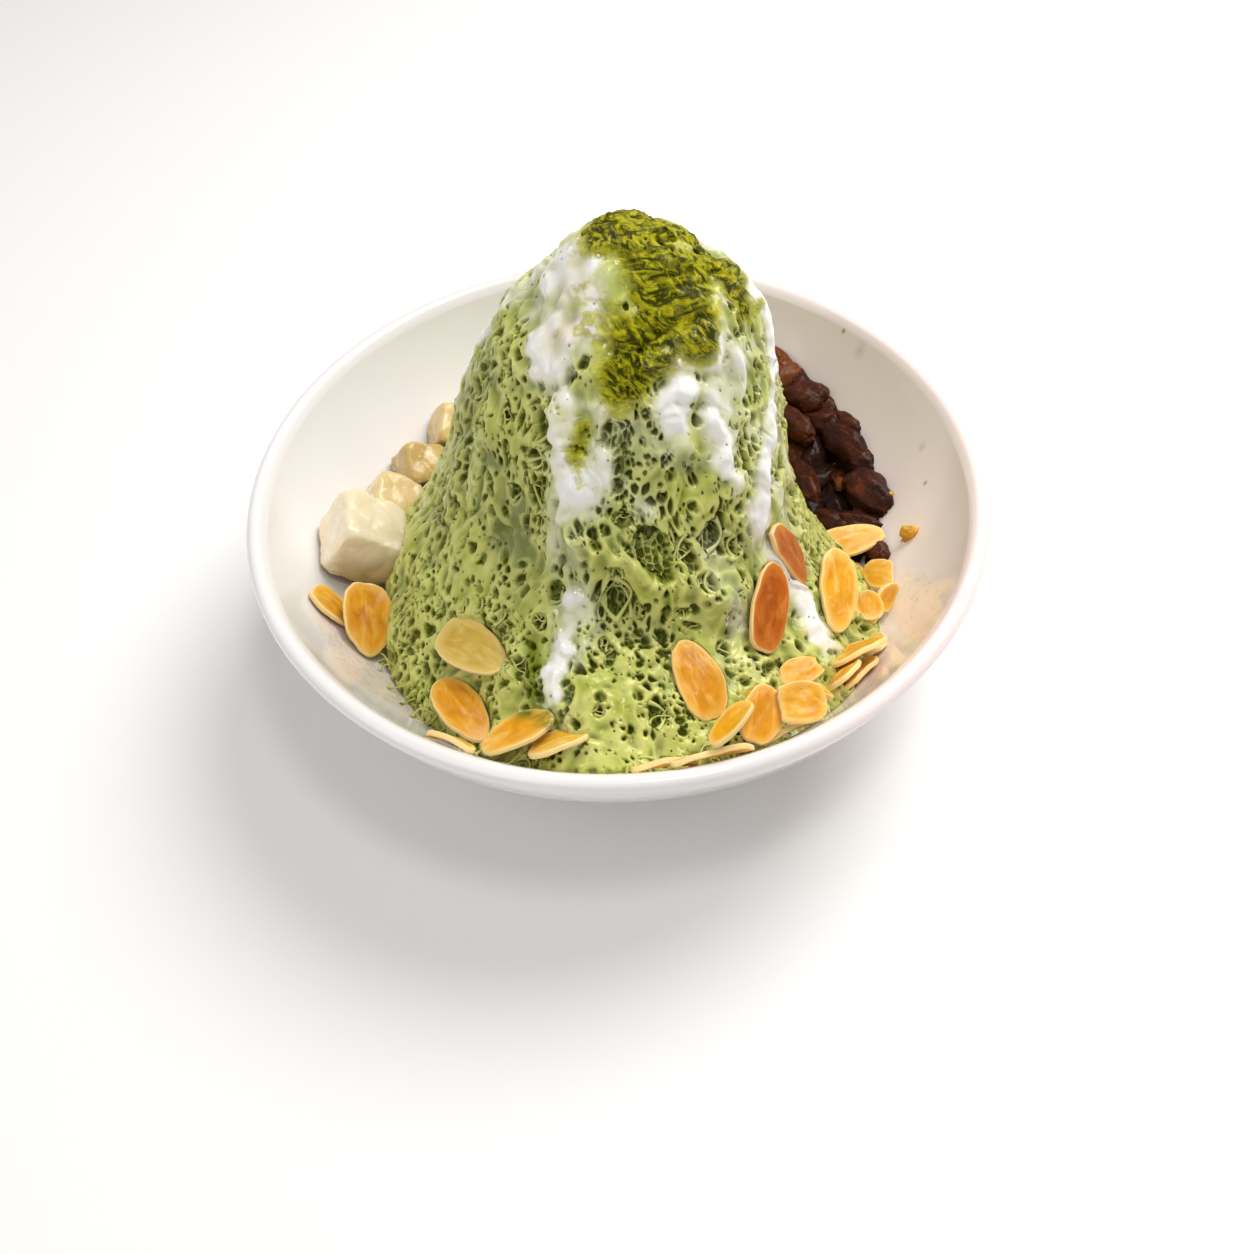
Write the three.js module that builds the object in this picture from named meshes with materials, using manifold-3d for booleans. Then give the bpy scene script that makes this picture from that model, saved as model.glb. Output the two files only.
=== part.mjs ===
// Green-tea bingsu in a white glazed bowl. Millimetres, +Z up.
// The bowl stands on z = 0 and its axis is the Z axis. -Y is the front.
import * as THREE from 'three';
import { ConvexGeometry } from 'three/addons/geometries/ConvexGeometry.js';
import { mergeVertices } from 'three/addons/utils/BufferGeometryUtils.js';
import Module from 'manifold-3d';

const wasm = await Module();
wasm.setup();
const { Manifold, Mesh: SolidMesh } = wasm;

// ---------------------------------------------------------------- bowl
const RIM_HEIGHT = 56;
const RIM_RADIUS = 90;
const RIM_INNER_RADIUS = 86;
const INNER_WIDTH = 90; // half width of the ellipse that the inner wall follows
const INNER_DEPTH = 70; // half height of the same ellipse
const OUTER_WIDTH = 90.8;
const OUTER_DEPTH = 61;
const OUTER_CENTRE = 64;
const FOOT_OUTER_RADIUS = 36;
const FOOT_INNER_RADIUS = 31;
const FOOT_RECESS = 2;
const FOOT_BEVEL = 1.5; // the recess under the foot opens out by this much
const FOOT_EDGE = [0.6, 0.8]; // width and height of the bevel round the foot
const OUTER_RADII = [48, 60, 70, 78, 84, 88]; // where the outer wall has its rows
const BOWL_SEGMENTS = 64;
const WALL_ROWS = 9;
const LIP_RADIUS = 2.2;
const LIP_TURNS = [0, 45, 90, 135]; // degrees round the lip, from outside to inside

// ---------------------------------------------------------------- shaved ice
const PEAK = 71; // heights of the ice are measured from the rim
const PEAK_X = 3.5;
const PEAK_Y = -2;
const LEAN_FOOT = -30; // the mound leans towards the peak from this height on,
const LEAN_HEIGHT = 60; // fully after this rise
const CLEARANCE = 0.3;
const WALL_CLEARANCE = 0.6;
const ICE_TO_BEANS = 0.45;
const ICE_SEGMENTS = 72;
const ICE_ROWS = 23;
const ICE_FLOOR_ROWS = 6;
const ROW_CROWDING = 1.35; // over 1, the rows are closer together at the peak
const CUT_DROP = 3; // the larger copy of the ice reaches this much lower
const TURN_STEP = 4; // degrees and height over which the slope is measured
const HEIGHT_STEP = 2.5;
// Radius of the mound every 45 degrees, from +X round to the front right, at these heights.
const PROFILE_HEIGHTS = [71, 70, 66, 59, 50, 40, 30, 20, 10, 0, -8, -16, -24];
const PROFILES = [
  [0, 5.5, 14.6, 23.4, 28.6, 31.2, 33.2, 35.0, 37.0, 39.5, 42.5, 47, 52], // right
  [0, 5.0, 10.2, 17.2, 24.5, 28.8, 31.5, 34.0, 36.0, 38.0, 40.5, 43.5, 48],
  [0, 5.0, 10.0, 16.2, 22.5, 27.5, 31.5, 34.5, 37.0, 39.0, 41.5, 44, 47], // back
  [0, 5.0, 10.4, 16.4, 23.2, 29.5, 33.5, 35.5, 38.0, 41.0, 44.5, 48.5, 52],
  [0, 5.0, 11.2, 17.8, 25.4, 32.0, 36.5, 38.5, 41.0, 45.4, 50.2, 55, 59], // left
  [0, 5.2, 11.8, 18.8, 26.0, 31.8, 36.5, 40.0, 44.0, 50.5, 58.5, 66, 71],
  [0, 5.5, 12.2, 19.0, 26.0, 31.5, 37.0, 42.5, 49.5, 61.0, 80.0, 88, 90], // front
  [0, 5.5, 14.0, 21.5, 27.0, 31.3, 36.0, 40.0, 44.5, 51.0, 60.0, 70, 80],
];
// Height at which the ice meets the bowl, every 45 degrees.
const CONTACT_HEIGHTS = [-32, -34, -33, -33, -33, -21.5, -7.5, -17];
const FOOT_BLEND = 12; // height over which the skirt spreads out to the wall

// Raised and sunk forms. Each line is a run of [azimuth, height] points on the
// mound, its half width and how far it stands out (negative is a hollow).
const FORMS = [
  { run: [[-99, 18], [-87, 15], [-73, 12], [-60, 6]], width: 5, out: 2.0 }, // ridge over the skirt
  { run: [[-93, 10], [-76, 7], [-64, 3]], width: 4.5, out: -1.6 }, // fold under the ridge
  { run: [[-136, 22], [-128, 14]], width: 8, out: -2.2 }, // shaded hollow on the left
  { run: [[-114, -3], [-93, -2], [-75, -1]], width: 9, out: 1.6 }, // swelling of the skirt
  { run: [[-170, -4], [-161, -14], [-148, -19]], width: 4.5, out: 1.8 }, // ribs on the left flank
  { run: [[-160, 15], [-158, -1], [-148, -10]], width: 4, out: 1.4 },
  { run: [[168, 22], [172, 4], [176, -14]], width: 4.5, out: 1.3 },
  { run: [[140, 40], [146, 16], [150, -10]], width: 5, out: 1.5 }, // folds on the back
  { run: [[105, 52], [110, 24], [112, -8]], width: 5, out: -1.4 },
  { run: [[72, 45], [76, 18], [70, -14]], width: 5, out: 1.5 },
  { run: [[30, 50], [34, 24], [28, -8]], width: 5, out: 1.2 },
  { run: [[10, 20], [4, -4], [-8, -22]], width: 4.5, out: 1.4 },
  { run: [[-155, 21], [-155, 7]], width: 3.5, out: -1.0 },
  // condensed milk that has run down over the ice
  {
    run: [[-135, 53], [-121, 47], [-111, 40], [-111, 32], [-106, 25], [-105, 17]],
    width: 3.6,
    out: 1.2,
  },
  { run: [[-105, 10], [-103, 4], [-103, -1]], width: 3.2, out: 1.3 },
  { run: [[-142, 60], [-125, 64], [-106, 60]], width: 7, out: 1.0 },
  { run: [[-81, 48], [-61, 51], [-44, 46], [-49, 34]], width: 5.5, out: 1.1 },
  {
    run: [[-6, 42], [-23, 34], [-32, 26], [-43, 18], [-47, 9], [-46, -1], [-44, -9]],
    width: 3.4,
    out: 1.2,
  },
];
const CONTACT_FADE = 5; // forms die out over this height above the wall

// ---------------------------------------------------------------- almond slices
const SLICE_THICKNESS = 1.2;
const SLICE_BEND = 0.5;
const SLICE_POINTS = 14;
const SLICE_TAPER = 0.16; // one end is narrower than the other
const SLICE_CLEARANCE = 0.3;
const SLICE_HEADROOM = 6; // nothing of the ice lies over a slice
// centre, long axis, upward normal, length, width, and where a broken slice ends
const SLICES = [
  [[-70.2, -24.4, 39.8], [0.68, -0.41, -0.61], [0.72, 0.23, 0.65], 13.7, 9.5], // left
  [[-61.3, -28.1, 39.1], [0.1, -0.93, -0.36], [0.48, -0.2, 0.85], 19.4, 12.6],
  [[-33.8, -48.7, 51.5], [0.74, -0.67, 0.1], [-0.22, -0.1, 0.97], 20.8, 11.5],
  [[-36.5, -60.7, 45], [0.55, -0.83, -0.05], [0.12, 0.02, 0.99], 19.7, 10.5],
  [[-37.2, -73.1, 51.1], [0.88, -0.48, 0.05], [0.4, 0.79, 0.46], 12.5, 3.6],
  [[-23.3, -72.2, 51.5], [0.93, 0.27, 0.25], [-0.3, 0.14, 0.94], 17.7, 9.5],
  [[-14.5, -74.9, 51.2], [0.95, 0.27, 0.15], [-0.27, 0.47, 0.84], 13.6, 9],
  [[7.2, -82.8, 53.2], [1, 0.09, 0], [-0.08, 0.9, 0.43], 14, 2.8], // front rim
  [[16.9, -82.6, 55.6], [0.97, 0.22, -0.03], [-0.19, 0.88, 0.44], 18, 3.4],
  [[15.6, -63.2, 55.3], [0.39, -0.81, -0.43], [0.19, -0.39, 0.9], 18.9, 10.5], // right
  [[21, -77.9, 59.8], [-0.68, -0.71, -0.19], [-0.43, 0.17, 0.88], 12.8, 6],
  [[27.1, -65.1, 51.6], [0.74, 0.66, 0.13], [-0.41, 0.29, 0.87], 5, 3.5],
  [[28.1, -73.1, 55.6], [-0.31, -0.92, -0.23], [0.26, -0.32, 0.91], 14, 9.2],
  [[35.7, -71.3, 56.4], [-0.98, -0.14, 0.11], [0.15, -0.32, 0.93], 13.7, 9.8, 0.6],
  [[34.7, -74.3, 51.5], [0.91, 0.41, 0.03], [-0.37, 0.8, 0.46], 15, 2.8],
  [[40.8, -63.6, 50], [0.93, -0.31, -0.19], [0.27, 0.23, 0.94], 8.9, 3],
  [[39.2, -57.2, 48.6], [0.89, 0.45, -0.07], [0.12, -0.08, 0.99], 11.9, 7, 0.75],
  [[48.4, -55.3, 44.1], [0.75, 0.64, 0.15], [-0.57, 0.51, 0.64], 11.3, 9],
  [[52.3, -51.7, 39.1], [0.74, 0.66, 0.1], [-0.53, 0.5, 0.68], 14.7, 9],
  [[52.9, -48.3, 43.7], [0.89, 0.46, 0.05], [-0.36, 0.64, 0.68], 16.6, 9.5],
  [[57.9, -42, 36.7], [0.77, -0.01, 0.64], [-0.58, 0.4, 0.71], 8.9, 8],
  [[57.9, -30.8, 34.4], [0.99, -0.04, -0.12], [0.12, -0.01, 0.99], 8.2, 7],
  [[58.7, -32.2, 39.9], [0.99, 0.16, -0.05], [0.1, -0.35, 0.93], 7.4, 7.5],
  [[64.2, -27.7, 37.8], [0.6, 0.75, 0.29], [-0.58, 0.65, -0.49], 8, 6],
  [[64.9, -17.8, 34.8], [0.98, -0.13, 0.16], [-0.2, -0.32, 0.93], 9.5, 8, 0.6],
  [[60.3, -14.4, 29.5], [-0.08, -0.99, 0.08], [0.64, 0.01, 0.77], 12.4, 3.5],
  [[58.5, -4.7, 33.3], [0.97, 0.24, 0.01], [0.02, -0.11, 0.99], 20.9, 9.5],
  [[50.5, -33.5, 47.9], [-0.14, -0.95, -0.27], [0.45, -0.3, 0.84], 21.5, 10.5],
  [[32.4, -46.7, 58.2], [-0.2, -0.9, -0.39], [0.57, -0.43, 0.7], 21.7, 10.5],
  [[38.5, -33, 59.9], [0.45, -0.1, -0.89], [0.83, -0.32, 0.46], 19.3, 8.5],
];

// ---------------------------------------------------------------- rice cakes
const CAKE_CORNER = 0.3; // share of each half edge that the worn corners take
const CAKE_UNEVENNESS = 0.09;
const CAKE_WAVE = [5.1, 2.3, 3.7, 1.9]; // makes every corner of a block differ
// centre, half sizes, turn about X, Y and Z in degrees
const CAKES = [
  [[-64.3, -3.7, 41.3], [8.8, 8.6, 8.0], [-4, 38, 10]],
  [[-60.1, 13.2, 35.7], [6.4, 6.6, 6.6], [14, 36, -10]],
  [[-53.1, 28.4, 33.7], [6.4, 6.0, 6.4], [22, 32, 14]],
  [[-43.7, 42.4, 34.8], [7.0, 6.2, 6.6], [30, 26, -8]],
];

// ---------------------------------------------------------------- red beans
const HEAP_START = -14; // azimuth of the heap's front end
const HEAP_END = 70;
const HEAP_STEPS = 12;
const HEAP_END_FALL = 10; // both ends of the heap run out downwards
const HEAP_END_POWER = 6;
const HEAP_OVERLAP = 1; // how far the heap goes into the wall before it is cut back
const HEAP_SLOPE_FOOT = 50; // radius at which the slope from the wall ends
const HEAP_INNER_RADIUS = 40;
const HEAP_BOTTOM = -44;
const HEAP_DIP = 6; // the heap sinks from the wall towards the ice
// Height of the heap at the wall, every 21 degrees from HEAP_START.
const HEAP_WALL_HEIGHTS = [-29.5, -27, -25, -20, -17.5];
// centre, half length, half width, turn of the long axis in plan, and its dip, in degrees
const BEANS = [
  [[46.5, 60.0, 40.0], 6.2, 3.8, 120, 10], // along the wall
  [[51.5, 54.8, 38.0], 6.4, 4.0, 118, 10],
  [[47.4, 53.0, 39.4], 5.8, 3.8, 26, -8],
  [[53.0, 46.8, 37.6], 7.0, 4.8, 150, 6],
  [[58.4, 45.0, 35.0], 6.2, 3.8, 112, 8],
  [[49.6, 38.6, 34.6], 8.4, 4.6, 115, 14],
  [[57.8, 39.8, 34.4], 6.6, 3.8, 150, 4],
  [[63.4, 36.8, 34.8], 6.4, 3.8, 130, 4],
  [[62.4, 30.8, 34.2], 7.8, 4.6, 128, 2],
  [[66.0, 25.8, 33.0], 6.6, 4.0, 124, 4],
  [[50.2, 22.5, 28.8], 9.0, 4.0, 107, 8],
  [[60.4, 22.4, 28.0], 5.0, 2.6, 103, 7],
  [[66.8, 12.6, 33.2], 7.8, 5.0, 118, -2],
  [[57.8, 6.8, 27.4], 6.4, 4.0, 145, -6],
  [[64.6, 4.6, 28.6], 6.6, 4.0, 154, -6],
  [[66.4, -6.4, 30.4], 5.0, 3.0, 126, -6],
  [[40.2, 61.6, 40.4], 6.4, 4.0, 30, 5], // the end behind the ice
  [[38.6, 66.4, 41.8], 6.2, 3.9, 150, -4],
  [[32.6, 68.4, 41.8], 6.4, 4.0, 100, 6],
  [[33.6, 61.4, 39.2], 6.6, 4.2, 70, 6],
  [[26.6, 66.6, 40.2], 6.4, 4.0, 20, -6],
  [[27.6, 59.2, 37.2], 6.6, 4.2, 140, 8],
  [[41.0, 54.4, 37.6], 6.8, 4.3, 60, 10], // along the ice
  [[34.8, 53.6, 36.0], 6.6, 4.3, 115, 10],
  [[44.0, 47.0, 35.2], 7.0, 4.4, 35, -10],
  [[37.6, 46.0, 33.4], 6.8, 4.3, 75, -8],
  [[42.6, 38.4, 31.6], 6.8, 4.3, 140, 8],
  [[47.4, 30.6, 29.8], 6.8, 4.2, 20, 8],
  [[54.6, 31.6, 29.2], 7.0, 4.4, 70, -8], // deep between the others
  [[56.4, 24.4, 26.8], 6.8, 4.2, 35, 6],
  [[63.4, 19.6, 27.6], 6.6, 4.0, 80, 4],
  [[58.4, 15.4, 26.2], 7.2, 4.3, 95, 4],
  [[51.6, 12.8, 26.0], 6.8, 4.4, 110, -8],
  [[52.0, 3.4, 25.8], 6.8, 4.3, 70, 8],
  [[59.4, -2.8, 26.2], 6.8, 4.2, 60, -4],
];
const HOLLOW_ROWS = 24;
const BEAN_SIDES = 6;
const BEAN_LATITUDE = 32; // where a bean's two rings lie

// ---------------------------------------------------------------- colours
const GLAZE = '#efece6';
const ICE_GREEN = '#b3c286';
const BEAN_BROWN = '#4a231a';
const CAKE_CREAM = '#e6d2a4';
const ALMOND_GOLD = '#e2a241';
const ALMOND_TOASTED = '#bf672d';

// ---------------------------------------------------------------- helpers
const clamp = (value, low, high) => Math.min(high, Math.max(low, value));
const radians = (degrees) => THREE.MathUtils.degToRad(degrees);
const vector = (list) => new THREE.Vector3(...list);

function material(colour, roughness) {
  return new THREE.MeshStandardMaterial({ color: colour, roughness, metalness: 0 });
}

function triangleGeometry(points, triangles) {
  const geometry = new THREE.BufferGeometry();
  geometry.setAttribute('position', new THREE.Float32BufferAttribute(points.flat(), 3));
  geometry.setIndex(triangles.flat());
  return geometry;
}

function toSolid(geometry) {
  const bare = new THREE.BufferGeometry();
  bare.setAttribute('position', geometry.getAttribute('position').clone());
  if (geometry.index) bare.setIndex(geometry.index.clone());
  const merged = mergeVertices(bare, 1e-4);
  return new Manifold(new SolidMesh({
    numProp: 3,
    vertProperties: new Float32Array(merged.getAttribute('position').array),
    triVerts: new Uint32Array(merged.index.array),
  }));
}

function toGeometry(solid) {
  const { vertProperties, triVerts, numProp } = solid.getMesh();
  const points = new Float32Array((vertProperties.length / numProp) * 3);
  for (let i = 0; i < points.length / 3; i += 1) {
    points.set(vertProperties.subarray(i * numProp, i * numProp + 3), i * 3);
  }
  const geometry = new THREE.BufferGeometry();
  geometry.setAttribute('position', new THREE.Float32BufferAttribute(points, 3));
  geometry.setIndex(new THREE.Uint32BufferAttribute(triVerts, 1));
  return geometry;
}

function largestBody(solid) {
  return solid.decompose().reduce((best, body) => (body.volume() > best.volume() ? body : best));
}

// ---------------------------------------------------------------- bowl shape
const INNER_CENTRE =
  RIM_HEIGHT + INNER_DEPTH * Math.sqrt(1 - (RIM_INNER_RADIUS / INNER_WIDTH) ** 2);

function innerRadius(z) {
  return INNER_WIDTH * Math.sqrt(Math.max(0, 1 - ((INNER_CENTRE - z) / INNER_DEPTH) ** 2));
}

function innerHeight(radius) {
  return INNER_CENTRE - INNER_DEPTH * Math.sqrt(1 - (radius / INNER_WIDTH) ** 2);
}

function outerHeight(radius) {
  return OUTER_CENTRE - OUTER_DEPTH * Math.sqrt(1 - (radius / OUTER_WIDTH) ** 2);
}

function innerWallProfile(rows, lift) {
  const profile = [];
  const top = innerRadius(RIM_HEIGHT - LIP_RADIUS);
  for (let i = 0; i <= rows; i += 1) {
    const radius = top * Math.sin((i / rows) * (Math.PI / 2));
    profile.push([Math.max(0, radius), innerHeight(radius) + lift]);
  }
  return profile;
}

function bowlProfile() {
  const profile = [
    [0, FOOT_RECESS],
    [FOOT_INNER_RADIUS - FOOT_BEVEL, FOOT_RECESS],
    [FOOT_INNER_RADIUS, 0],
    [FOOT_OUTER_RADIUS - FOOT_EDGE[0], 0],
    [FOOT_OUTER_RADIUS, FOOT_EDGE[1]],
    [FOOT_OUTER_RADIUS, outerHeight(FOOT_OUTER_RADIUS)],
  ];
  for (const radius of OUTER_RADII) profile.push([radius, outerHeight(radius)]);
  const lipCentre = RIM_RADIUS - LIP_RADIUS;
  for (const turn of LIP_TURNS) {
    const angle = radians(turn);
    profile.push([
      lipCentre + LIP_RADIUS * Math.cos(angle),
      RIM_HEIGHT - LIP_RADIUS + LIP_RADIUS * Math.sin(angle),
    ]);
  }
  profile.push(...innerWallProfile(WALL_ROWS, 0).reverse());
  return profile.map(([radius, z]) => new THREE.Vector2(radius, z));
}

function makeBowl() {
  return new THREE.LatheGeometry(bowlProfile(), BOWL_SEGMENTS).rotateX(Math.PI / 2);
}

// ---------------------------------------------------------------- ice shape
// A smooth curve through eight values that stand 45 degrees apart.
function around(values, degrees) {
  const place = (((degrees % 360) + 360) % 360) / 45;
  const first = Math.floor(place);
  const f = place - first;
  const [a, b, c, d] = [-1, 0, 1, 2].map((step) => values[(first + step + 8) % 8]);
  return 0.5 * (2 * b + (c - a) * f + (2 * a - 5 * b + 4 * c - d) * f * f
    + (3 * b - a - 3 * c + d) * f ** 3);
}

function profileRadius(profile, height) {
  const last = PROFILE_HEIGHTS.length - 1;
  if (height <= PROFILE_HEIGHTS[last]) return profile[last];
  const lower = Math.max(1, PROFILE_HEIGHTS.findIndex((level) => height >= level));
  const low = PROFILE_HEIGHTS[lower];
  const share = (height - low) / (PROFILE_HEIGHTS[lower - 1] - low);
  return THREE.MathUtils.lerp(profile[lower], profile[lower - 1], clamp(share, 0, 1));
}

function columnPoint(degrees, height) {
  const radius = around(PROFILES.map((profile) => profileRadius(profile, height)), degrees);
  const lean = clamp((height - LEAN_FOOT) / LEAN_HEIGHT, 0, 1);
  return [
    PEAK_X * lean + radius * Math.cos(radians(degrees)),
    PEAK_Y * lean + radius * Math.sin(radians(degrees)),
  ];
}

// Point of the smooth mound. Under the rim it spreads out until it meets the wall.
function moundPoint(degrees, height) {
  const contact = around(CONTACT_HEIGHTS, degrees);
  const [x, y] = columnPoint(degrees, height);
  const reach = Math.hypot(x, y);
  const footReach = Math.hypot(...columnPoint(degrees, contact));
  const wall = innerRadius(RIM_HEIGHT + contact) - WALL_CLEARANCE;
  const spread = clamp((contact + FOOT_BLEND - height) / FOOT_BLEND, 0, 1) ** 2;
  let radius = reach + (wall - footReach) * spread;
  if (height < 0) radius = Math.min(radius, innerRadius(RIM_HEIGHT + height) - WALL_CLEARANCE);
  const scale = radius / Math.max(reach, 1e-6);
  return new THREE.Vector3(x * scale, y * scale, RIM_HEIGHT + height);
}

function moundNormal(degrees, height) {
  const along = moundPoint(degrees + TURN_STEP, height)
    .sub(moundPoint(degrees - TURN_STEP, height));
  const upward = moundPoint(degrees, height + HEIGHT_STEP)
    .sub(moundPoint(degrees, height - HEIGHT_STEP));
  return along.cross(upward).normalize();
}

function distanceToRun(point, run) {
  let best = Infinity;
  for (let i = 0; i + 1 < run.length; i += 1) {
    const stretch = new THREE.Line3(run[i], run[i + 1]);
    const nearest = stretch.closestPointToPoint(point, true, new THREE.Vector3());
    best = Math.min(best, nearest.distanceTo(point));
  }
  return best;
}

const FORM_RUNS = FORMS.map(({ run, width, out }) => ({
  run: run.map(([degrees, height]) => moundPoint(degrees, height)),
  width,
  out,
}));

function reliefAt(point, heightOverContact) {
  const fade = clamp(heightOverContact / CONTACT_FADE, 0, 1);
  let out = 0;
  for (const form of FORM_RUNS) {
    out += form.out * Math.exp(-0.5 * (distanceToRun(point, form.run) / form.width) ** 2);
  }
  return out * fade;
}

function iceRings(extra) {
  const rings = [];
  for (let row = 1; row <= ICE_ROWS; row += 1) {
    const share = (row / ICE_ROWS) ** ROW_CROWDING;
    const ring = [];
    for (let i = 0; i < ICE_SEGMENTS; i += 1) {
      const degrees = (i / ICE_SEGMENTS) * 360;
      const contact = around(CONTACT_HEIGHTS, degrees);
      const height = PEAK - (PEAK - contact) * share;
      const point = moundPoint(degrees, height);
      const out = reliefAt(point, height - contact) + extra;
      point.addScaledVector(moundNormal(degrees, height), out);
      const reach = Math.hypot(point.x, point.y);
      const limit = innerRadius(Math.min(point.z, RIM_HEIGHT - LIP_RADIUS)) - WALL_CLEARANCE;
      if (extra === 0 && point.z < RIM_HEIGHT && reach > limit) {
        point.x *= limit / reach;
        point.y *= limit / reach;
      }
      ring.push(point.toArray());
    }
    rings.push(ring);
  }
  return rings;
}

function iceFloorRings(drop) {
  const rings = [];
  for (let row = 1; row <= ICE_FLOOR_ROWS; row += 1) {
    const share = 1 - row / (ICE_FLOOR_ROWS + 1);
    const ring = [];
    for (let i = 0; i < ICE_SEGMENTS; i += 1) {
      const degrees = (i / ICE_SEGMENTS) * 360;
      const contact = around(CONTACT_HEIGHTS, degrees);
      const radius = (innerRadius(RIM_HEIGHT + contact) - WALL_CLEARANCE) * share;
      const x = radius * Math.cos(radians(degrees));
      const y = radius * Math.sin(radians(degrees));
      ring.push([x, y, innerHeight(radius) + WALL_CLEARANCE - drop]);
    }
    rings.push(ring);
  }
  return rings;
}

// A closed skin over rings, from a top point to a bottom point.
function skin(top, rings, bottom) {
  const points = [top, ...rings.flat(), bottom];
  const count = rings[0].length;
  const last = points.length - 1;
  const index = (row, i) => 1 + row * count + (i % count);
  const triangles = [];
  for (let i = 0; i < count; i += 1) {
    triangles.push([0, index(0, i), index(0, i + 1)]);
    triangles.push([last, index(rings.length - 1, i + 1), index(rings.length - 1, i)]);
    for (let row = 0; row + 1 < rings.length; row += 1) {
      triangles.push([index(row, i), index(row + 1, i), index(row + 1, i + 1)]);
      triangles.push([index(row, i), index(row + 1, i + 1), index(row, i + 1)]);
    }
  }
  return triangleGeometry(points, triangles);
}

// The body of the ice, or with `extra` a larger copy that other parts are cut back with.
function makeIceBody(extra) {
  const drop = extra > 0 ? CUT_DROP : 0;
  const top = [PEAK_X, PEAK_Y, RIM_HEIGHT + PEAK + extra];
  const floor = [0, 0, innerHeight(0) + WALL_CLEARANCE - drop];
  return skin(top, [...iceRings(extra), ...iceFloorRings(drop)], floor);
}

// ---------------------------------------------------------------- almond slice shape
// A slice grown by `grow` on every side and by `headroom` over its upper face.
function makeSlice([centre, axis, normal, length, width, end = 1], grow = 0, headroom = 0) {
  const along = vector(axis).normalize();
  const across = vector(normal).cross(along).normalize();
  const up = along.clone().cross(across);
  const place = (x, y, z) => {
    const bend = SLICE_BEND * (0.5 - ((2 * x) / length) ** 2);
    return vector(centre).addScaledVector(along, x).addScaledVector(across, y)
      .addScaledVector(up, z + bend).toArray();
  };
  const upper = SLICE_THICKNESS / 2 + grow + headroom;
  const lower = -SLICE_THICKNESS / 2 - grow;
  const points = [];
  for (const z of [upper, lower]) {
    for (let i = 0; i < SLICE_POINTS; i += 1) {
      const turn = ((i + 0.5) / SLICE_POINTS) * 2 * Math.PI;
      const x = Math.min(Math.cos(turn), end);
      const y = (width / 2 + grow) * Math.sin(turn) * (1 - SLICE_TAPER * x);
      points.push(place(x * (length / 2 + grow), y, z));
    }
  }
  points.push(place(0, 0, upper), place(0, 0, lower));
  const triangles = [];
  for (let i = 0; i < SLICE_POINTS; i += 1) {
    const next = (i + 1) % SLICE_POINTS;
    const under = SLICE_POINTS + i;
    const underNext = SLICE_POINTS + next;
    triangles.push([2 * SLICE_POINTS, i, next]);
    triangles.push([2 * SLICE_POINTS + 1, underNext, under]);
    triangles.push([i, under, underNext], [i, underNext, next]);
  }
  return triangleGeometry(points, triangles);
}

// ---------------------------------------------------------------- rice cake shape
function makeCake([centre, half, turns]) {
  const points = [];
  const wear = 1 - CAKE_CORNER;
  for (const sx of [-1, 1]) {
    for (const sy of [-1, 1]) {
      for (const sz of [-1, 1]) {
        const worn = [[wear, 1, 1], [1, wear, 1], [1, 1, wear]];
        for (const [i, [wx, wy, wz]] of worn.entries()) {
          const [turnWave, xWave, yWave, zWave] = CAKE_WAVE;
          const phase = turnWave * i + xWave * sx + yWave * sy + zWave * sz + centre[1];
          const uneven = 1 - CAKE_UNEVENNESS * Math.abs(Math.sin(phase));
          points.push(new THREE.Vector3(
            sx * half[0] * wx * uneven,
            sy * half[1] * wy * uneven,
            sz * half[2] * wz * uneven,
          ));
        }
      }
    }
  }
  const turn = new THREE.Euler(...turns.map(radians), 'XYZ');
  const placed = points.map((point) => point.applyEuler(turn).add(vector(centre)));
  return new ConvexGeometry(placed);
}

// ---------------------------------------------------------------- red bean shape
function makeBean([centre, halfLength, halfWidth, heading, dip]) {
  const rings = [];
  for (const latitude of [BEAN_LATITUDE, -BEAN_LATITUDE]) {
    const ring = [];
    const along = halfLength * Math.sin(radians(latitude));
    for (let i = 0; i < BEAN_SIDES; i += 1) {
      const turn = (i / BEAN_SIDES) * 2 * Math.PI;
      ring.push([halfWidth * Math.cos(turn), halfWidth * Math.sin(turn), along]);
    }
    rings.push(ring);
  }
  const geometry = skin([0, 0, halfLength], rings, [0, 0, -halfLength]);
  geometry.rotateY(radians(90 + dip)).rotateZ(radians(heading));
  return geometry.translate(...centre);
}

// Height of the heap's core at the wall, over the rim, `share` of the way along the heap.
function heapHeight(share) {
  const last = HEAP_WALL_HEIGHTS.length - 1;
  const place = share * last;
  const step = Math.min(Math.floor(place), last - 1);
  const height = THREE.MathUtils.lerp(
    HEAP_WALL_HEIGHTS[step],
    HEAP_WALL_HEIGHTS[step + 1],
    place - step,
  );
  return height - HEAP_END_FALL * Math.abs(2 * share - 1) ** HEAP_END_POWER;
}

function heapSection(share) {
  const azimuth = radians(THREE.MathUtils.lerp(HEAP_START, HEAP_END, share));
  const height = heapHeight(share);
  const outer = innerRadius(RIM_HEIGHT + height) + HEAP_OVERLAP;
  const outline = [
    [outer, height],
    [HEAP_SLOPE_FOOT, height - HEAP_DIP],
    [HEAP_INNER_RADIUS, height - HEAP_DIP],
    [HEAP_INNER_RADIUS, HEAP_BOTTOM],
    [outer, HEAP_BOTTOM],
  ];
  return outline.map(([radius, z]) => (
    [radius * Math.cos(azimuth), radius * Math.sin(azimuth), RIM_HEIGHT + z]));
}

function middle(points) {
  return [0, 1, 2].map((k) => points.reduce((sum, point) => sum + point[k], 0) / points.length);
}

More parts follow.
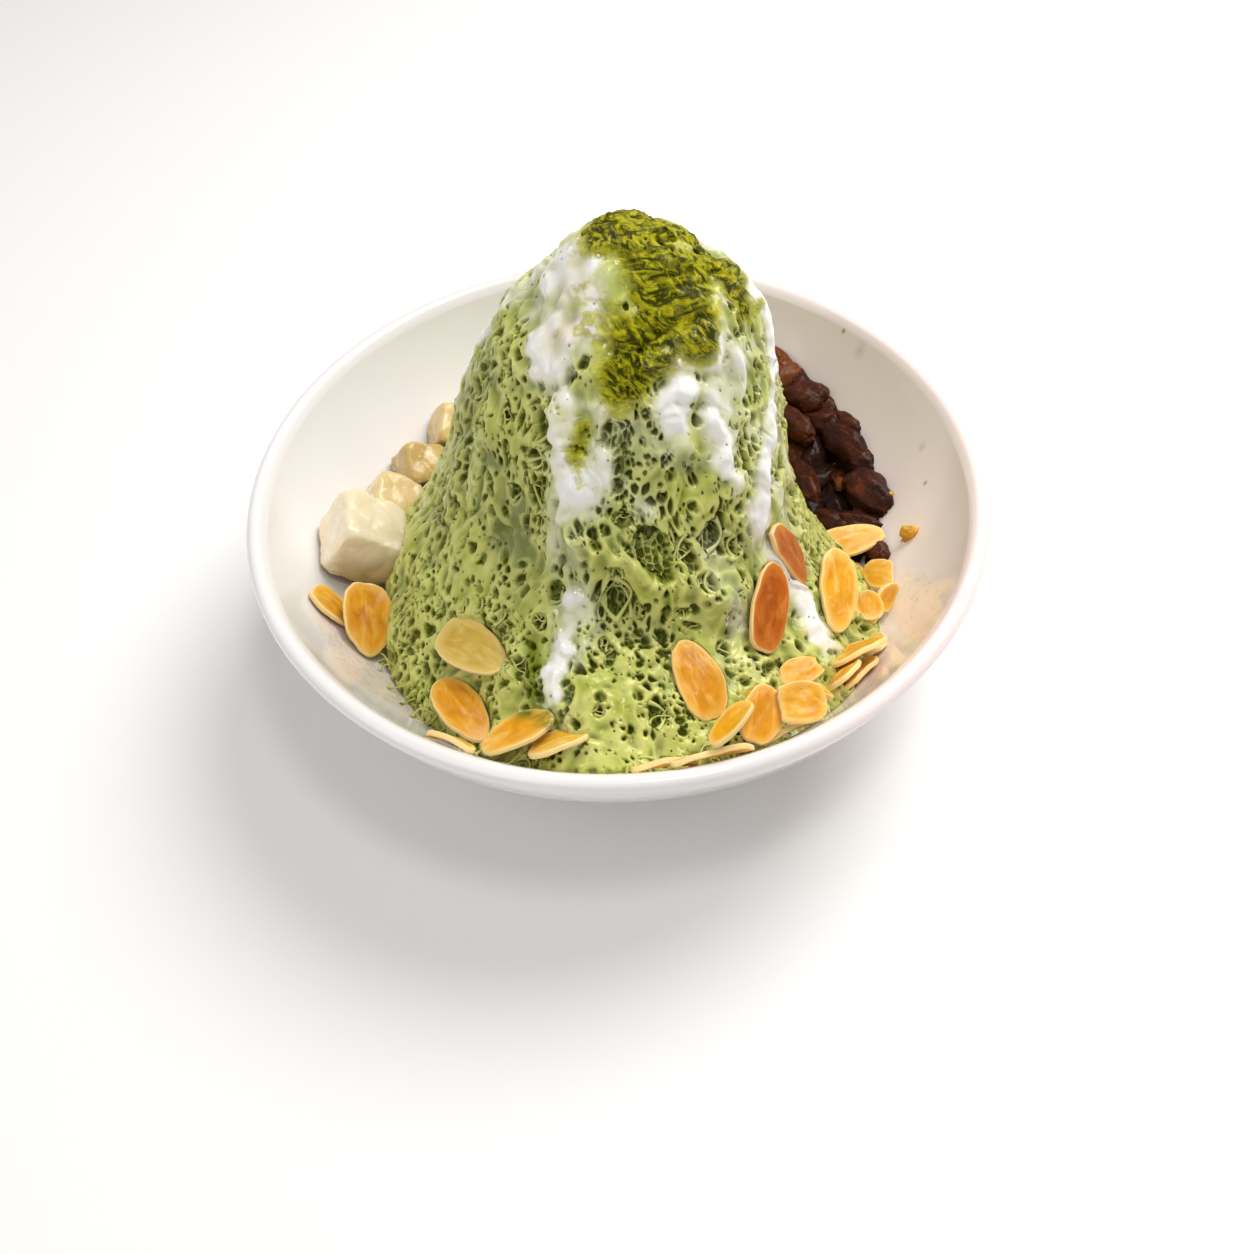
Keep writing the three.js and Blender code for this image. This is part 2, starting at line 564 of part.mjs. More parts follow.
// The beans that can't be told apart lie under the ones that show.
function makeHeapCore() {
  const sections = [];
  for (let i = 0; i <= HEAP_STEPS; i += 1) sections.push(heapSection(i / HEAP_STEPS));
  return skin(middle(sections[0]), sections, middle(sections[HEAP_STEPS]));
}

// The hollow of the bowl, a little smaller than it is, closed above the rim.
function makeHollow() {
  const edge = RIM_INNER_RADIUS - CLEARANCE;
  const top = RIM_HEIGHT + PEAK;
  const profile = innerWallProfile(HOLLOW_ROWS, CLEARANCE).map(([radius, z]) => (
    new THREE.Vector2(Math.max(0, radius - CLEARANCE), z)));
  profile.push(new THREE.Vector2(edge, top), new THREE.Vector2(0, top));
  return new THREE.LatheGeometry(profile, BOWL_SEGMENTS).rotateX(Math.PI / 2);
}

function makeHeap(toppings) {
  let heap = toSolid(makeHeapCore());
  for (const bean of BEANS) heap = heap.add(toSolid(makeBean(bean)));
  heap = heap.intersect(toSolid(makeHollow())).subtract(toSolid(makeIceBody(ICE_TO_BEANS)));
  for (const topping of toppings) heap = heap.subtract(topping);
  return toGeometry(largestBody(heap));
}

function makeIce(toppings) {
  let ice = toSolid(makeIceBody(0));
  for (const topping of toppings) ice = ice.subtract(topping);
  return toGeometry(largestBody(ice));
}

// ---------------------------------------------------------------- assembly
const group = new THREE.Group();
group.name = 'bingsu';

function addPart(name, geometry, partMaterial) {
  geometry.computeVertexNormals();
  const mesh = new THREE.Mesh(geometry, partMaterial);
  mesh.name = name;
  group.add(mesh);
}

const sliceCuts = SLICES.map((slice) => toSolid(makeSlice(slice, SLICE_CLEARANCE, SLICE_HEADROOM)));
const cakeCuts = CAKES.map(([centre, half, turns]) => (
  toSolid(makeCake([centre, half.map((size) => size + SLICE_CLEARANCE), turns]))));

addPart('bowl', makeBowl(), material(GLAZE, 0.2));
addPart('ice_mound', makeIce([...sliceCuts, ...cakeCuts]), material(ICE_GREEN, 0.45));
addPart('red_beans', makeHeap(sliceCuts), material(BEAN_BROWN, 0.3));
CAKES.forEach((cake, i) => {
  addPart(`rice_cake_${i + 1}`, makeCake(cake), material(CAKE_CREAM, 0.4));
});
SLICES.forEach((slice, i) => {
  const toasted = i >= SLICES.length - 2;
  const name = `almond_slice_${String(i + 1).padStart(2, '0')}`;
  addPart(name, makeSlice(slice), material(toasted ? ALMOND_TOASTED : ALMOND_GOLD, 0.5));
});

export default group;
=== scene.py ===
"""Green-tea bingsu in its bowl: the looks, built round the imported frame. Metres, +Z up."""
import itertools
import math

import bpy
import numpy as np
from mathutils import Matrix, Vector


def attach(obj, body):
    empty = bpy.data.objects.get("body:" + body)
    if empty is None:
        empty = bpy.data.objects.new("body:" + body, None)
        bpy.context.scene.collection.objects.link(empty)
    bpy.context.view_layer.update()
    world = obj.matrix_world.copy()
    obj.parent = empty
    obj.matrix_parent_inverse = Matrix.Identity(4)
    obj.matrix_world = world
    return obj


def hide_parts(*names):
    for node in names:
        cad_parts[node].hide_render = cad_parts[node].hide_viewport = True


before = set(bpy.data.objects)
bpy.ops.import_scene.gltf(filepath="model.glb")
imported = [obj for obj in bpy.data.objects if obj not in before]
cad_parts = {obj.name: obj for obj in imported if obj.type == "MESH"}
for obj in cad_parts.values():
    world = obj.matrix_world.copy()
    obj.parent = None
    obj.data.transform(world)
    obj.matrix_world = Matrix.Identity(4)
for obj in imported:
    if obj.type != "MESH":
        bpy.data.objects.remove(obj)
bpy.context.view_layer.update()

ALMOND_SLICES = sorted(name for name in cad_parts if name.startswith("almond_slice"))
MM = 0.001  # shapes below are worked out in millimetres

# ---------------------------------------------------------------- bowl sizes
RIM_HEIGHT = 56.0
RIM_RADIUS = 90.0
RIM_INNER_RADIUS = 86.0
INNER_WIDTH = 90.0  # half width of the ellipse that the inner wall follows
INNER_DEPTH = 70.0  # half height of the same ellipse
OUTER_WIDTH = 90.8
OUTER_DEPTH = 61.0
OUTER_CENTRE = 64.0
FOOT_OUTER_RADIUS = 36.0
FOOT_INNER_RADIUS = 31.0
FOOT_RECESS = 2.0
LIP_RADIUS = 2.2
BOWL_SEGMENTS = 256
TOPPING_GAP = 0.15  # between the wall and what lies on it
BOWL_WOBBLE = 0.12  # the bowl was thrown by hand, so it isn't quite true
# What has run down the inner wall: runs of points, and half widths there.
RESIDUE = {
    "puddle": ([(68, -24, 35), (72, -36, 44), (70, -48, 43), (60, -60, 45)], (6, 9, 10, 8)),
    "film": ([(-70, -32, 40), (-64, -40, 38), (-58, -47, 38), (-50, -54, 38)], (5, 8, 8, 5)),
}
# Brown specks on the glaze, in mm with the height times 0.6: place, radius and strength.
STAINS = [
    ((67.8, 49.2, 30.6), 2.2, 0.35), ((79.3, 15.6, 27.5), 1.5, 0.4), ((78.7, 5.4, 25.7), 0.8, 1.2),
    ((64.0, 55.5, 31.8), 0.8, 1.2), ((-62.0, 42.0, 26.0), 0.8, 1.2), ((-60.5, 36.0, 23.0), 0.8, 1.0),
]
INNER_CENTRE = RIM_HEIGHT + INNER_DEPTH * math.sqrt(1 - (RIM_INNER_RADIUS / INNER_WIDTH) ** 2)

# ---------------------------------------------------------------- ice sizes
PEAK = 71.0  # heights of the ice are measured from the rim
PEAK_X = 3.5
PEAK_Y = -2.0
FOOT_BLEND = 12.0  # height over the foot in which the mound spreads out to the wall
WALL_GAP = 0.12
# Radius of the mound every 45 degrees, from +X round to the front right, at these heights.
PROFILE_HEIGHTS = np.array([71, 70, 66, 59, 50, 40, 30, 20, 10, 0, -8, -16, -24.0])
PROFILES = np.array([
    [0, 5.5, 14.6, 23.4, 28.6, 31.2, 33.2, 35.0, 37.0, 39.5, 42.5, 47, 52],
    [0, 5.0, 10.2, 17.2, 24.5, 28.8, 31.5, 34.0, 36.0, 38.0, 40.5, 43.5, 48],
    [0, 5.0, 10.0, 16.2, 22.5, 27.5, 31.5, 34.5, 37.0, 39.0, 41.5, 44, 47],
    [0, 5.0, 10.4, 16.4, 23.2, 29.5, 33.5, 35.5, 38.0, 41.0, 44.5, 48.5, 52],
    [0, 5.0, 11.2, 17.8, 25.4, 32.0, 36.5, 38.5, 41.0, 45.4, 50.2, 55, 59],
    [0, 5.2, 11.8, 18.8, 26.0, 31.8, 36.5, 40.0, 44.0, 50.5, 58.5, 66, 71],
    [0, 5.5, 12.2, 19.0, 26.0, 31.5, 37.0, 42.5, 49.5, 61.0, 80.0, 88, 90],
    [0, 5.5, 14.0, 21.5, 27.0, 31.3, 36.0, 40.0, 44.5, 51.0, 60.0, 70, 80],
])
CONTACT_HEIGHTS = np.array([-32, -34, -33, -33, -33, -21.5, -7.5, -17])

ICE_ROWS = 325
FRONT_COLUMNS = 750  # between these azimuths, where the fine pores are
FRONT_START = -192
FRONT_END = 12
BACK_COLUMNS = 170
PROFILE_STEPS = 420  # along each column, before it is divided evenly
PROFILE_EASE = 1.35  # over 1 puts more of those steps near the peak
ICE_PIECES = ("ice_left", "ice_front", "ice_right", "ice_back")
FOOT_FADE = 3.0  # width of the strip along the foot that stays smooth
FLOOR_ROWS = 6
FLOOR_GAP = 0.4
PIECE_OVERLAP = 6  # columns on each side of a joint that both pieces have
JOINT_SINK = 0.02  # how far a piece's outermost columns lie under the piece beside it
ROUNDING_PASSES = 60

# Folds of the ice: [azimuth, height] runs, half width, and how far they stand out.
FOLDS = [
    ([(-104, 22), (-96, 19), (-88, 17), (-78, 12), (-66, 7)], 3.6, 3.2),  # ridge over the skirt
    ([(-93, 11), (-80, 6), (-68, 1)], 4.0, -2.0),  # fold under the ridge
    ([(-138, 28), (-132, 20), (-126, 12)], 7.0, -2.8),  # shaded hollow on the left
    ([(-114, -3), (-93, -2), (-75, -1)], 9.0, 1.6),  # swelling of the skirt
    ([(-124, -7), (-113, -7), (-104, -6)], 2.6, -2.4),  # cleft over the almonds
    ([(-170, -4), (-161, -14), (-148, -19)], 4.5, 1.8),  # ribs on the left flank
    ([(-160, 15), (-158, -1), (-148, -10)], 4.0, 1.4),
    ([(168, 22), (172, 4), (176, -14)], 4.5, 1.3),
    ([(140, 40), (146, 16), (150, -10)], 5.0, 1.5),  # folds on the back
    ([(105, 52), (110, 24), (112, -8)], 5.0, -1.4),
    ([(72, 45), (76, 18), (70, -14)], 5.0, 1.5),
    ([(30, 50), (34, 24), (28, -8)], 5.0, 1.2),
    ([(10, 20), (4, -4), (-8, -22)], 4.5, 1.4),
    ([(-155, 21), (-155, 7)], 3.5, -1.0),
    ([(-121, 30), (-119, 18), (-122, 8)], 2.6, -1.0),
    ([(-80, 30), (-78, 24)], 4.0, 0.8),
    ([(-122, 44), (-116, 32), (-108, 22)], 2.6, 1.6),  # rope beside the milk
    ([(-74, 38), (-66, 32), (-56, 27)], 2.8, 1.5),
    ([(-100, 4), (-98, -6), (-92, -14)], 2.6, 1.4),
    ([(-150, 34), (-146, 20), (-140, 6)], 3.4, 1.6),
]
FOLD_FADE = 5.0  # height over the foot where folds reach their full depth

# Condensed milk: [azimuth, height, half width] runs, how thick it lies and how white it is.
MILK = [
    ([(-150, 68, 5), (-150, 65, 7), (-144, 61, 7), (-128, 61, 6), (-124, 58, 5)], 0.4, 0.96),
    ([(-140, 54, 3.2), (-132, 50, 3.6)], 0.9, 0.95),
    ([(-130, 57, 4), (-123, 51, 3), (-117, 45, 2.8), (-114, 40, 3.6), (-112, 34, 4.8),
      (-110, 29, 4.8)], 0.9, 0.95),
    ([(-102, 46, 1.8), (-102, 41, 2.4), (-103, 35, 3.8), (-105, 30, 4.4)], 0.7, 0.75),
    ([(-108, 24, 2.4), (-106, 18, 2.4), (-104, 12, 3.2)], 0.2, 0.5),
    ([(-105, 9, 3.2), (-105, 4, 3.4)], 0.5, 0.85),
    ([(-105, 2, 3.2), (-104.5, -2.5, 2.8)], 1.1, 1.5),
    ([(-101, -2, 1.6), (-101, -6, 1.4)], 0.5, 0.7),
    ([(-72, 54, 2.4), (-64, 52, 3.4)], 0.7, 0.85),
    ([(-58, 54, 4), (-46, 53, 5), (-38, 48, 5), (-45, 43, 4.4), (-54, 46, 3.6)], 0.7, 0.9),
    ([(-66, 48, 3.6), (-74, 47, 3.4), (-70, 43, 3.8), (-73, 38, 2.8)], 1.0, 1.0),
    ([(-60, 41, 3.6), (-56, 37, 4.2), (-57, 33, 3.4), (-56, 29, 2.6)], 1.2, 1.1),
    ([(4, 58, 2.4), (1, 50, 3), (-6, 40, 3), (-22, 34, 3), (-36, 28, 2.6), (-46, 20, 2.8),
      (-50, 13, 3)], 1.0, 1.2),
    ([(-47, 8, 2.8), (-44, 0, 3.8), (-45, -6, 3.6), (-46, -11, 2.6)], 0.7, 1.3),
    ([(-50, 62, 2), (-36, 61, 3)], 0.4, 0.6),
    ([(128, 56, 4), (132, 44, 3), (136, 30, 2.4)], 0.8, 0.95),  # down the back
    ([(84, 60, 4), (80, 48, 3), (84, 36, 2.6), (82, 26, 2)], 0.9, 0.95),
    ([(172, 58, 3), (176, 46, 2.6), (172, 38, 2)], 0.8, 0.95),
    ([(36, 58, 3), (34, 46, 2.8), (38, 34, 2)], 0.8, 0.95),
    ([(-107, -6, 1.4), (-99, -6, 1.2)], 0.5, 0.8),
]
MILK_BODY = 1.3  # mm for a thickness of 1
MILK_COVER_EDGE = (3.2, -2.6)  # mm from a run's own edge where its cover starts and is full
MILK_HEIGHT_EDGE = (2.0, -3.4)  # the same for its height
# Where hardly any powder lies: [azimuth, height, half width] runs.
BARE = [[(-22, 67.5, 1.6), (-12, 66.5, 1.4)], [(-96, 64, 1.5), (-86, 62, 1.2)]]
# Thin milky film: [azimuth, height, half width] runs.
MILK_FILM = [
    [(-172, 58, 9), (-156, 64, 10), (-140, 62, 11), (-122, 60, 8), (-112, 52, 7), (-120, 46, 6)],
    [(-118, 44, 5), (-112, 36, 6), (-108, 28, 7), (-105, 18, 6), (-103, 6, 6), (-103, -3, 3)],
    [(-78, 50, 5), (-62, 50, 8), (-46, 46, 9), (-30, 43, 8), (-12, 46, 7), (0, 54, 6)],
    [(-48, 38, 6), (-36, 30, 5), (-44, 22, 5), (-48, 12, 5), (-45, -4, 5)],
    [(-20, 62, 6), (-12, 52, 7), (-16, 40, 6)],
    [(-112, 26, 5), (-110, 14, 5)],
    [(-118, 65, 5), (-110, 59, 5)],
    [(-100, 56, 5), (-92, 44, 5), (-84, 40, 5)],
    [(-4, 40, 6), (-16, 22, 7), (-26, 6, 6)],
    [(-92, 31, 4), (-86, 27, 4)],
    [(-70, 24, 3), (-66, 14, 5), (-67, 5, 6), (-66, -2, 5)],
    [(-38, 18, 4), (-36, 6, 5), (-38, -2, 4)],
    [(170, 60, 8), (150, 62, 8), (120, 58, 7), (90, 60, 7), (60, 60, 7), (36, 58, 7)],
    [(130, 50, 6), (135, 36, 5)],
    [(84, 50, 6), (82, 34, 5)],
]
WARM_MILK = [[(-158, 66, 6), (-130, 62, 8), (-118, 57, 6)]]  # a warm cast
# Matcha powder: [azimuth, height, half width] runs, and the thinner fringe round it.
MATCHA = [
    [(-130, 70, 3.5), (-90, 71, 4), (-40, 71, 5), (-12, 69, 5), (-5, 65, 5), (-9, 60, 4.5),
     (-17, 56, 3)],
    [(-60, 69, 4.5), (-66, 65, 5), (-74, 60, 6), (-84, 55, 5.5), (-92, 51, 4)],
    [(-36, 64, 6), (-48, 60, 5), (-52, 55, 3)],
    [(40, 70, 4), (60, 66, 3)],
    [(-109, 42, 0.6), (-110, 37, 0.7)],
]
MATCHA_FRINGE = [
    [(-170, 69, 5), (-100, 70, 5), (-60, 71, 5), (20, 70, 6), (-3, 65, 6), (-8, 58, 5), (-20, 53, 2)],
    [(-100, 62, 4), (-100, 57, 5), (-94, 51, 5), (-96, 46, 2.4)],
    [(-70, 56, 6), (-54, 55, 4)],
    [(-122, 64, 3), (-114, 58, 3)],
    [(-16, 56, 2.5), (-24, 50, 1.6), (-22, 46, 1.2)],
    [(-8, 52, 2.5), (-14, 44, 1.5)],
    [(60, 70, 6), (90, 66, 5), (150, 69, 6)],
    [(-108, 44, 1.2), (-110, 37, 1.5), (-108, 32, 0.8)],
    [(-110, 27, 0.7), (-107, 21, 1.0)],
]
FULL_POWDER = 0.9
FRINGE_POWDER = 0.32
POWDER_BODY = 0.3  # mm
OLIVE_RUNS = [  # stronger tea colour
    [(-112, 1, 2.0), (-108, -3, 3.2), (-104, -6, 2.6)],
    [(-92, 38, 1.4), (-94, 34, 1.0)],
]
SHADED = [  # painted shade: greyer and darker
    [(-138, 26, 6), (-130, 14, 7), (-122, 8, 5)],
    [(-94, 8, 3), (-84, 5, 3)],
    [(-172, 42, 6), (-170, 20, 6), (-164, 4, 5)],
    [(-84, 42, 4), (-72, 36, 4)],
    [(-118, 27, 3), (-112, 16, 3)],
]

# Large pores: azimuth, height, half width, half length, tilt in degrees.
LARGE_PORES = [
    (-120, 51, 1.9, 2.8, 0), (-124, 41, 3.1, 4.6, 30), (-144, 39, 1.4, 3.0, 0),
    (-164, 27, 1.9, 3.3, 0), (-169, 36, 2.1, 3.3, 10), (-124, 34, 3.2, 2.6, 0),
    (-131, 30, 1.2, 1.1, 0), (-123, 27, 1.9, 5.2, -25), (-134, 23, 1.4, 2.2, -10),
    (-156, 9, 1.9, 3.3, 0), (-143, 8, 1.0, 2.8, 0), (-122, 20, 2.1, 1.1, 20),
    (-117, 18, 1.0, 1.7, 0), (-96, 41, 2.9, 3.7, 0), (-98, 35, 1.0, 1.7, 20),
    (-96, 33, 1.2, 1.1, 30), (-94, 30, 1.4, 0.8, 20), (-98, 25, 1.3, 1.4, 0),
    (-93, 26, 2.1, 1.7, 30), (-91, 22, 1.0, 2.8, 30), (-100, 23, 1.4, 1.2, 0),
    (-94, 17, 1.7, 1.7, 0), (-93, 11, 3.1, 4.6, -10), (-110, 10, 2.2, 2.6, 0),
    (-98, 9, 0.9, 2.6, -15), (-96, 5, 1.2, 1.6, 0), (-88, 8, 1.0, 1.7, 0),
    (-91, 5, 0.8, 0.8, 0), (-87, 5, 1.0, 1.1, 0), (-84, 20, 3.8, 6.4, 10),
    (-78, 24, 1.2, 2.6, -10), (-75, 18, 1.9, 5.4, 25), (-66, 19, 2.9, 3.7, 0),
    (-60, 15, 1.2, 2.8, 20), (-71, 13, 2.4, 2.6, 0), (-60, 9, 1.0, 2.2, 0),
    (-78, 8, 1.7, 1.2, 0), (-76, 5, 2.4, 0.8, -30), (-66, 4, 1.9, 1.8, 0),
    (-70, 0, 1.9, 1.6, 0), (-86, -2, 2.1, 3.4, 0), (-96, -1, 1.2, 1.6, 0),
    (-63, -4, 1.4, 1.4, 0), (-67, -5, 1.4, 1.9, 0), (-143, -16, 1.9, 1.7, 0),
    (-150, -14, 1.0, 2.5, 0), (-136, -5, 1.9, 1.4, 0), (-134, -2, 1.0, 1.7, 0),
    (-130, 0, 1.0, 1.9, 0), (-126, -1, 1.2, 1.1, 0), (-123, 1, 0.9, 2.4, 0),
    (-119, 1, 1.0, 2.5, 0), (-113, -1, 2.4, 1.8, 0), (-134, -22, 1.9, 3.0, 0),
    (-112, 5, 1.9, 1.6, 0), (-120, 6, 1.2, 1.4, 0), (-96, 0, 1.4, 1.2, 40),
]
SMALL_PORES = 330
SMALL_PORE_HEIGHTS = (-32, 56)
SMALL_PORE_WIDTHS = (0.5, 1.25)  # half widths
WEB_SIZE = 1.5  # pores wider than this have strands across them
PORE_RAGGED = 0.3  # mm by which a pore's outline wanders
FLOOR_NET = (1.5, 1.8, 61)  # cell width, stretch and seed of the net in the floor of a large pore
# Nets of stretched pores: cell width, stretch, seed, thinnest wall, share open, depth, how much
# the netted and closed areas count, how much the left flank closes, and whether floors are netted.
NETS = [
    (3.5, 2.2, 41, 0.32, 0.24, 2.3, 0.62, 0, True),
    (1.75, 2.2, 47, 0.17, 0.26, 1.5, 0.62, 0, False),
    (0.9, 2.4, 53, 0.11, 0.08, 0.7, 0.25, 0.3, False),
]
NET_BEND = 1.6  # mm
# Where the ice is netted and where its skin is closed: [azimuth, height, half width] runs.
NETTED = [
    [(-86, 26, 5), (-76, 20, 7), (-62, 16, 6)],
    [(-128, 44, 5), (-122, 37, 5), (-128, 30, 4)],
    [(-97, 40, 4), (-95, 30, 5)],
    [(-170, 40, 6), (-160, 28, 6), (-168, 14, 6), (-158, 4, 6)],
    [(-152, -8, 7), (-142, -16, 7), (-128, -22, 6)],
    [(-126, 0, 4), (-110, -3, 4)],
    [(-88, 6, 5), (-82, -1, 5)],
    [(-104, -14, 5), (-86, -15, 5), (-66, -16, 5)],
    [(-46, 32, 3), (-40, 20, 4)],
    [(-24, 67.5, 2.6), (-10, 66, 2.6)],
    [(0, 30, 8), (-20, 10, 8), (-30, -4, 8)],
]
CLOSED = [
    [(-138, 20, 6), (-128, 12, 7), (-118, 6, 4)],
    [(-98, 20, 3), (-86, 15, 3), (-66, 6, 3)],
    [(-56, 8, 5), (-52, 0, 5)],
    [(-72, 4, 4), (-60, 3, 5)],
    [(-118, 10, 4), (-106, 6, 4)],
    [(-68, 20, 3), (-67, 10, 5), (-66, 1, 5)],
    [(-76, 10, 4), (-74, 3, 5)],
    [(-38, 24, 4), (-35, 10, 5), (-38, 0, 5)],
]
RELIEF_ROWS = 5  # half size of the window that tells crests from hollows
RELIEF_COLUMNS = 8
SEAT_FACING = 0.6  # a slice counts as lying on the ice when it faces as the ice does
SEAT_EDGE = 1.05  # how far out the ice is pressed down, as a share of the slice's half sizes
SEAT_COVER = 4.0  # ice up to this far over a slice that lies on it goes under it
SEAT_COVER_ASIDE = 0.6  # the same for a slice that stands against the ice
SEAT_DEPTH = 0.85  # how far under the slice's middle plane the ice is pressed


# ---------------------------------------------------------------- number helpers
def smoothstep(low, high, values):
    t = np.clip((values - low) / (high - low), 0, 1)
    return t * t * (3 - 2 * t)


def scatter_values(corners, seed):
    """A repeatable random value from 0 to 1 for each whole-number place (..., 3)."""
    x, y, z = (corners[..., k].astype(np.int64) for k in range(3))
    mixed = (x * 374761393 + y * 668265263 + z * 1440662683 + seed * 974711) & 0xFFFFFFFF
    mixed = ((mixed ^ (mixed >> 13)) * 1274126177) & 0xFFFFFFFF
    mixed = ((mixed ^ (mixed >> 15)) * 2246822519) & 0xFFFFFFFF
    return (mixed ^ (mixed >> 16)) / 0xFFFFFFFF


def noise(points, seed, octaves=1):
    """Smooth values around 0, about -1 to 1, with one feature to a unit of length."""
    total = np.zeros(points.shape[:-1])
    for octave in range(octaves):
        scaled = points * 2.0 ** octave
        cell = np.floor(scaled)
        f = scaled - cell
        f = f * f * (3 - 2 * f)
        for corner in itertools.product((0, 1), repeat=3):
            weight = np.prod([f[..., k] if corner[k] else 1 - f[..., k] for k in range(3)], axis=0)
            total += weight * (2 * scatter_values(cell + corner, seed + octave) - 1) / 2 ** octave
    return total


def cells(points, seed):
    """Distances to the nearest and second nearest of scattered points, and the nearest's value."""
    base = np.floor(points)
    first = np.full(points.shape[:-1], 9.0)
    second = first.copy()
    value = np.zeros_like(first)
    for step in itertools.product((-1, 0, 1), repeat=3):
        cell = base + step
        place = cell + np.stack([scatter_values(cell, seed + k) for k in range(3)], -1)
        distance = np.linalg.norm(place - points, axis=-1)
        nearer = distance < first
        second = np.where(nearer, first, np.minimum(second, distance))
        value = np.where(nearer, scatter_values(cell, seed + 3), value)
        first = np.where(nearer, distance, first)
    return first, second, value


def unit(vectors):
    return vectors / np.maximum(np.linalg.norm(vectors, axis=-1, keepdims=True), 1e-9)


def inner_radius(z):
    return INNER_WIDTH * np.sqrt(np.maximum(0, 1 - ((INNER_CENTRE - z) / INNER_DEPTH) ** 2))


def inner_height(radius):
    return INNER_CENTRE - INNER_DEPTH * np.sqrt(1 - (radius / INNER_WIDTH) ** 2)


def outer_height(radius):
    return OUTER_CENTRE - OUTER_DEPTH * np.sqrt(1 - (radius / OUTER_WIDTH) ** 2)


def inside_wall(points, gap=TOPPING_GAP):
    """Points that would lie in the bowl's wall, drawn in to its inner face."""
    reach = np.hypot(points[..., 0], points[..., 1])
    allowed = inner_radius(np.minimum(points[..., 2], RIM_HEIGHT)) - gap
    points[..., :2] *= np.minimum(1, allowed / np.maximum(reach, 1e-6))[..., None]
    return points


# ---------------------------------------------------------------- mesh helpers
def grid_faces(rows, columns, closed=True):
    """Quads over points that run row by row; a closed grid joins its last column to its first."""
    i, j = np.meshgrid(np.arange(rows - 1), np.arange(columns if closed else columns - 1),
                       indexing="ij")
    k = (j + 1) % columns
    return np.stack([i * columns + j, (i + 1) * columns + j, (i + 1) * columns + k,
                     i * columns + k], -1).reshape(-1, 4)


def make_piece(name, points, faces, material, values=None, normals=None):
    """A smooth mesh from points in mm and a list of face arrays, riding on the body."""
    mesh = bpy.data.meshes.new(name)
    mesh.vertices.add(len(points))
    mesh.vertices.foreach_set("co", (np.asarray(points) * MM).ravel())
    loops = np.concatenate([group.ravel() for group in faces])
    sides = np.concatenate([np.full(len(group), group.shape[1]) for group in faces])
    starts = np.concatenate([[0], np.cumsum(sides)[:-1]])
    mesh.loops.add(len(loops))
    mesh.loops.foreach_set("vertex_index", loops.astype(np.int32))
    mesh.polygons.add(len(sides))
    mesh.polygons.foreach_set("loop_start", starts.astype(np.int32))
    mesh.update(calc_edges=True)
    mesh.validate()
    mesh.shade_smooth()
    for key, data in (values or {}).items():
        data = np.asarray(data, np.float32)
        kind, field = ("FLOAT", "value") if data.ndim == 1 else ("FLOAT_VECTOR", "vector")
        mesh.attributes.new(key, kind, "POINT").data.foreach_set(field, data.ravel())
    if normals is not None:
        mesh.normals_split_custom_set_from_vertices(normals)
    mesh.materials.append(material)
    piece = bpy.data.objects.new(name, mesh)
    bpy.context.scene.collection.objects.link(piece)
    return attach(piece, "root")


def join_meshes(parts):
    """One set of points, faces and values from several (points, faces, values)."""
    points, faces, values = [], [], {}
    start = 0
    for part_points, part_faces, part_values in parts:
        points.append(part_points)
        faces.append(part_faces + start)
        for key, data in part_values.items():
            values.setdefault(key, []).append(data)
        start += len(part_points)
    joined = {key: np.concatenate(data) for key, data in values.items()}
    return np.concatenate(points), faces, joined


# ---------------------------------------------------------------- material helper
def colour(code):
    """Linear colour from an sRGB code such as '#aabbcc'."""
    parts = [int(code[i:i + 2], 16) / 255 for i in (1, 3, 5)]
    return (*[c / 12.92 if c <= 0.04045 else ((c + 0.055) / 1.055) ** 2.4 for c in parts], 1)


